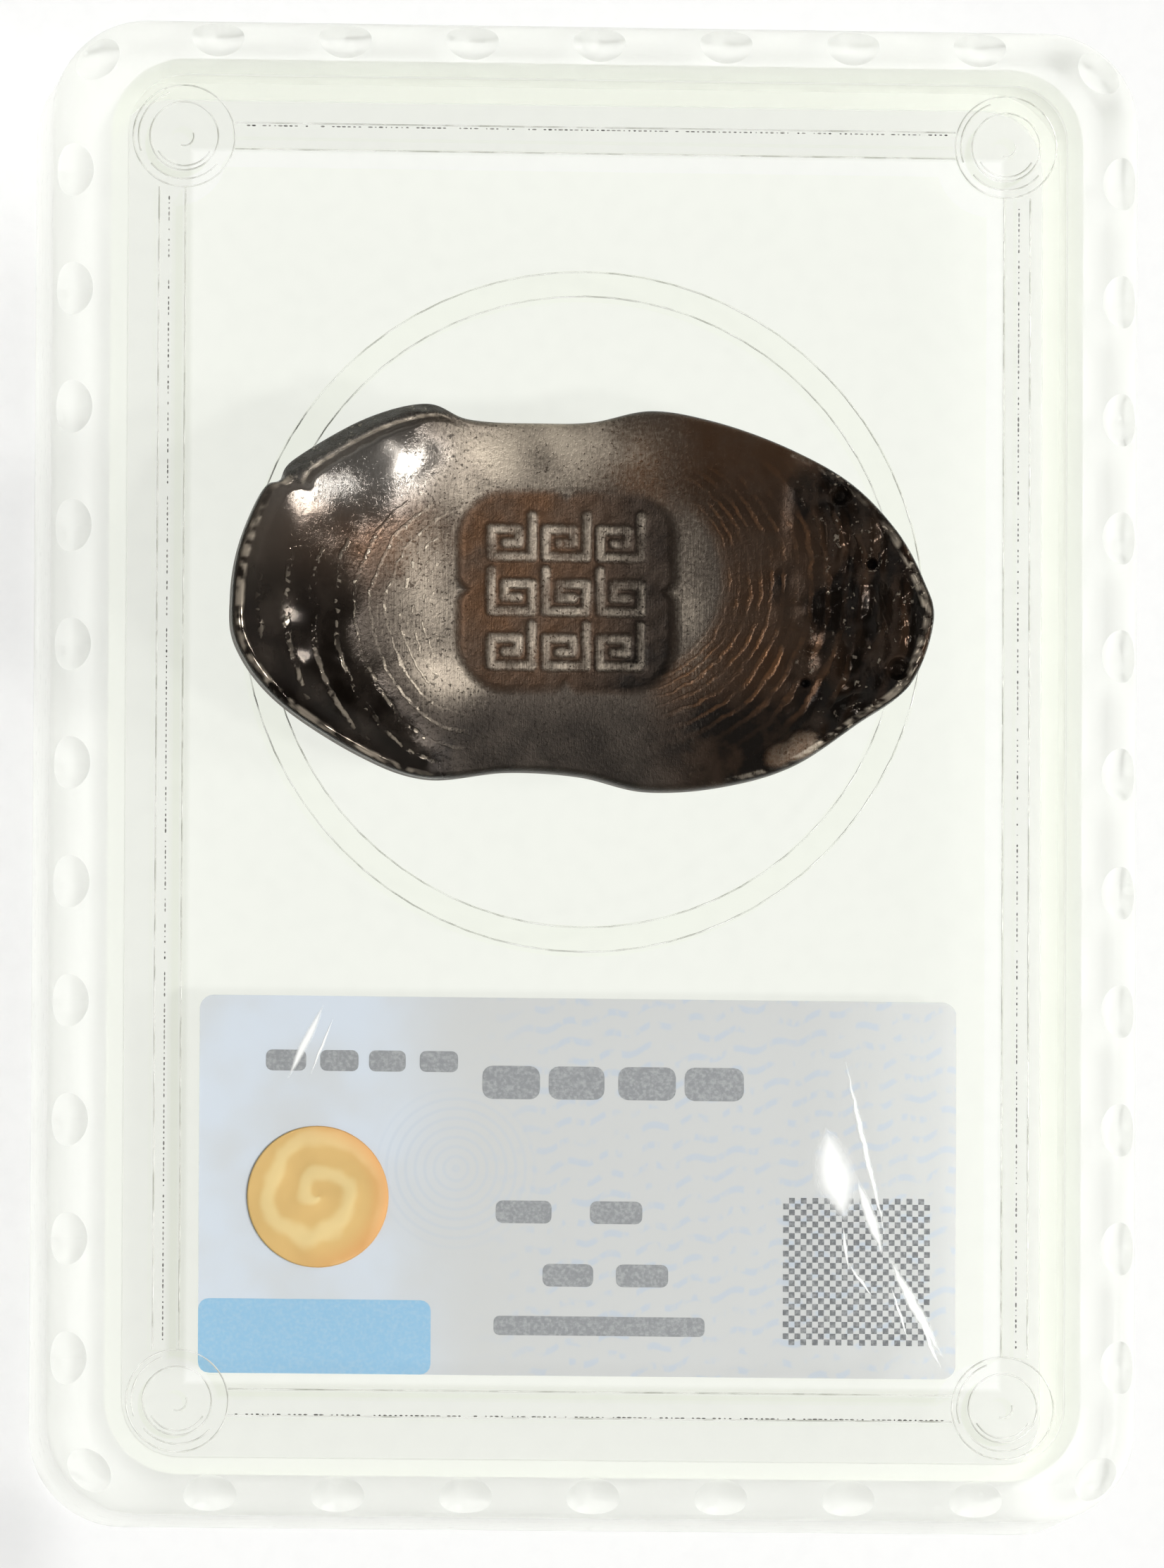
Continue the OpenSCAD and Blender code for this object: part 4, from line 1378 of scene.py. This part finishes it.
class INGOT_OT_card(Operator):
    """Finish the card and lay its print and its film on it"""

    bl_idname = "cased_ingot.card"
    bl_label = "Card"

    def execute(self, context):
        card = context.scene.cased_ingot.card
        low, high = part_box("label_card")
        middle = (low + high) / 2
        half = (high - low) / 2 / MM
        level = high.z + PRINT_UP * MM
        finish_node("label_card", printed_card(card, middle))
        bars = [(left, right, *row) for row, ends in PRINT_ROWS for left, right in ends]
        mesh = block_mesh("print_bars", bars, middle, level)
        add_piece(mesh, "print_bars", ink("print_bars", card.bars, 0.25))
        band_block = (-half.x, BAND_RIGHT, -half.y, BAND_TOP)
        mesh = block_mesh("print_band", [band_block], middle, level, BAND_CORNER)
        add_piece(mesh, "print_band", ink("print_band", card.band, 0.15))
        values = {
            "Side": LATTICE_SIDE * MM,
            "Tile": LATTICE_TILE * MM,
            "Count": LATTICE_COUNT,
            "Place": (middle.x + LATTICE_AT[0] * MM, middle.y + LATTICE_AT[1] * MM, level),
        }
        tiles = ink("print_tiles", card.tiles, 0.25)
        mesh = grown("print_lattice", "Tile Lattice", lattice_nodes, values, tiles)
        add_piece(mesh, "print_lattice")
        whole = (-half.x, half.x, -half.y, half.y)
        mesh = block_mesh("clear_film", [whole], middle, high.z + FILM_UP * MM, FILM_CORNER)
        add_piece(mesh, "clear_film", clear_film(middle))
        return {"FINISHED"}


class INGOT_OT_seal(Operator):
    """Finish the foil seal with its swirl"""

    bl_idname = "cased_ingot.seal"
    bl_label = "Foil Seal"

    def execute(self, context):
        finish_node("seal_sticker", gold_foil(context.scene.cased_ingot.card))
        return {"FINISHED"}


OPERATORS = (
    INGOT_OT_stage,
    INGOT_OT_casting,
    INGOT_OT_clear_case,
    INGOT_OT_edge_frame,
    INGOT_OT_weld_line,
    INGOT_OT_painted_edge_lines,
    INGOT_OT_card,
    INGOT_OT_seal,
)


class INGOT_PT_cased_ingot(Panel):
    """The settings and the steps in the sidebar"""

    bl_idname = "INGOT_PT_cased_ingot"
    bl_label = "Cased Ingot"
    bl_space_type = "VIEW_3D"
    bl_region_type = "UI"
    bl_category = "Ingot"

    def draw(self, context):
        settings = context.scene.cased_ingot
        for group in (settings.stage, settings.casting, settings.case, settings.card):
            box = self.layout.box()
            for name in group.__annotations__:
                box.prop(group, name)
        for step in OPERATORS:
            self.layout.operator(step.bl_idname)


CLASSES = (
    StageSettings,
    CastingSettings,
    CaseSettings,
    CardSettings,
    CasedIngotSettings,
    *OPERATORS,
    INGOT_PT_cased_ingot,
)


def register():
    """Makes the classes and the scene's settings known to Blender."""
    for item in CLASSES:
        bpy.utils.register_class(item)
    bpy.types.Scene.cased_ingot = PointerProperty(type=CasedIngotSettings)


def unregister():
    """Takes back what register did."""
    del bpy.types.Scene.cased_ingot
    for item in reversed(CLASSES):
        bpy.utils.unregister_class(item)


def main():
    """Makes every piece in order."""
    register()
    bpy.ops.cased_ingot.stage()
    bpy.ops.cased_ingot.casting()
    bpy.ops.cased_ingot.clear_case()
    bpy.ops.cased_ingot.edge_frame()
    bpy.ops.cased_ingot.weld_line()
    bpy.ops.cased_ingot.rounded_edges()
    bpy.ops.cased_ingot.card()
    bpy.ops.cased_ingot.seal()


if __name__ == "__main__":
    main()
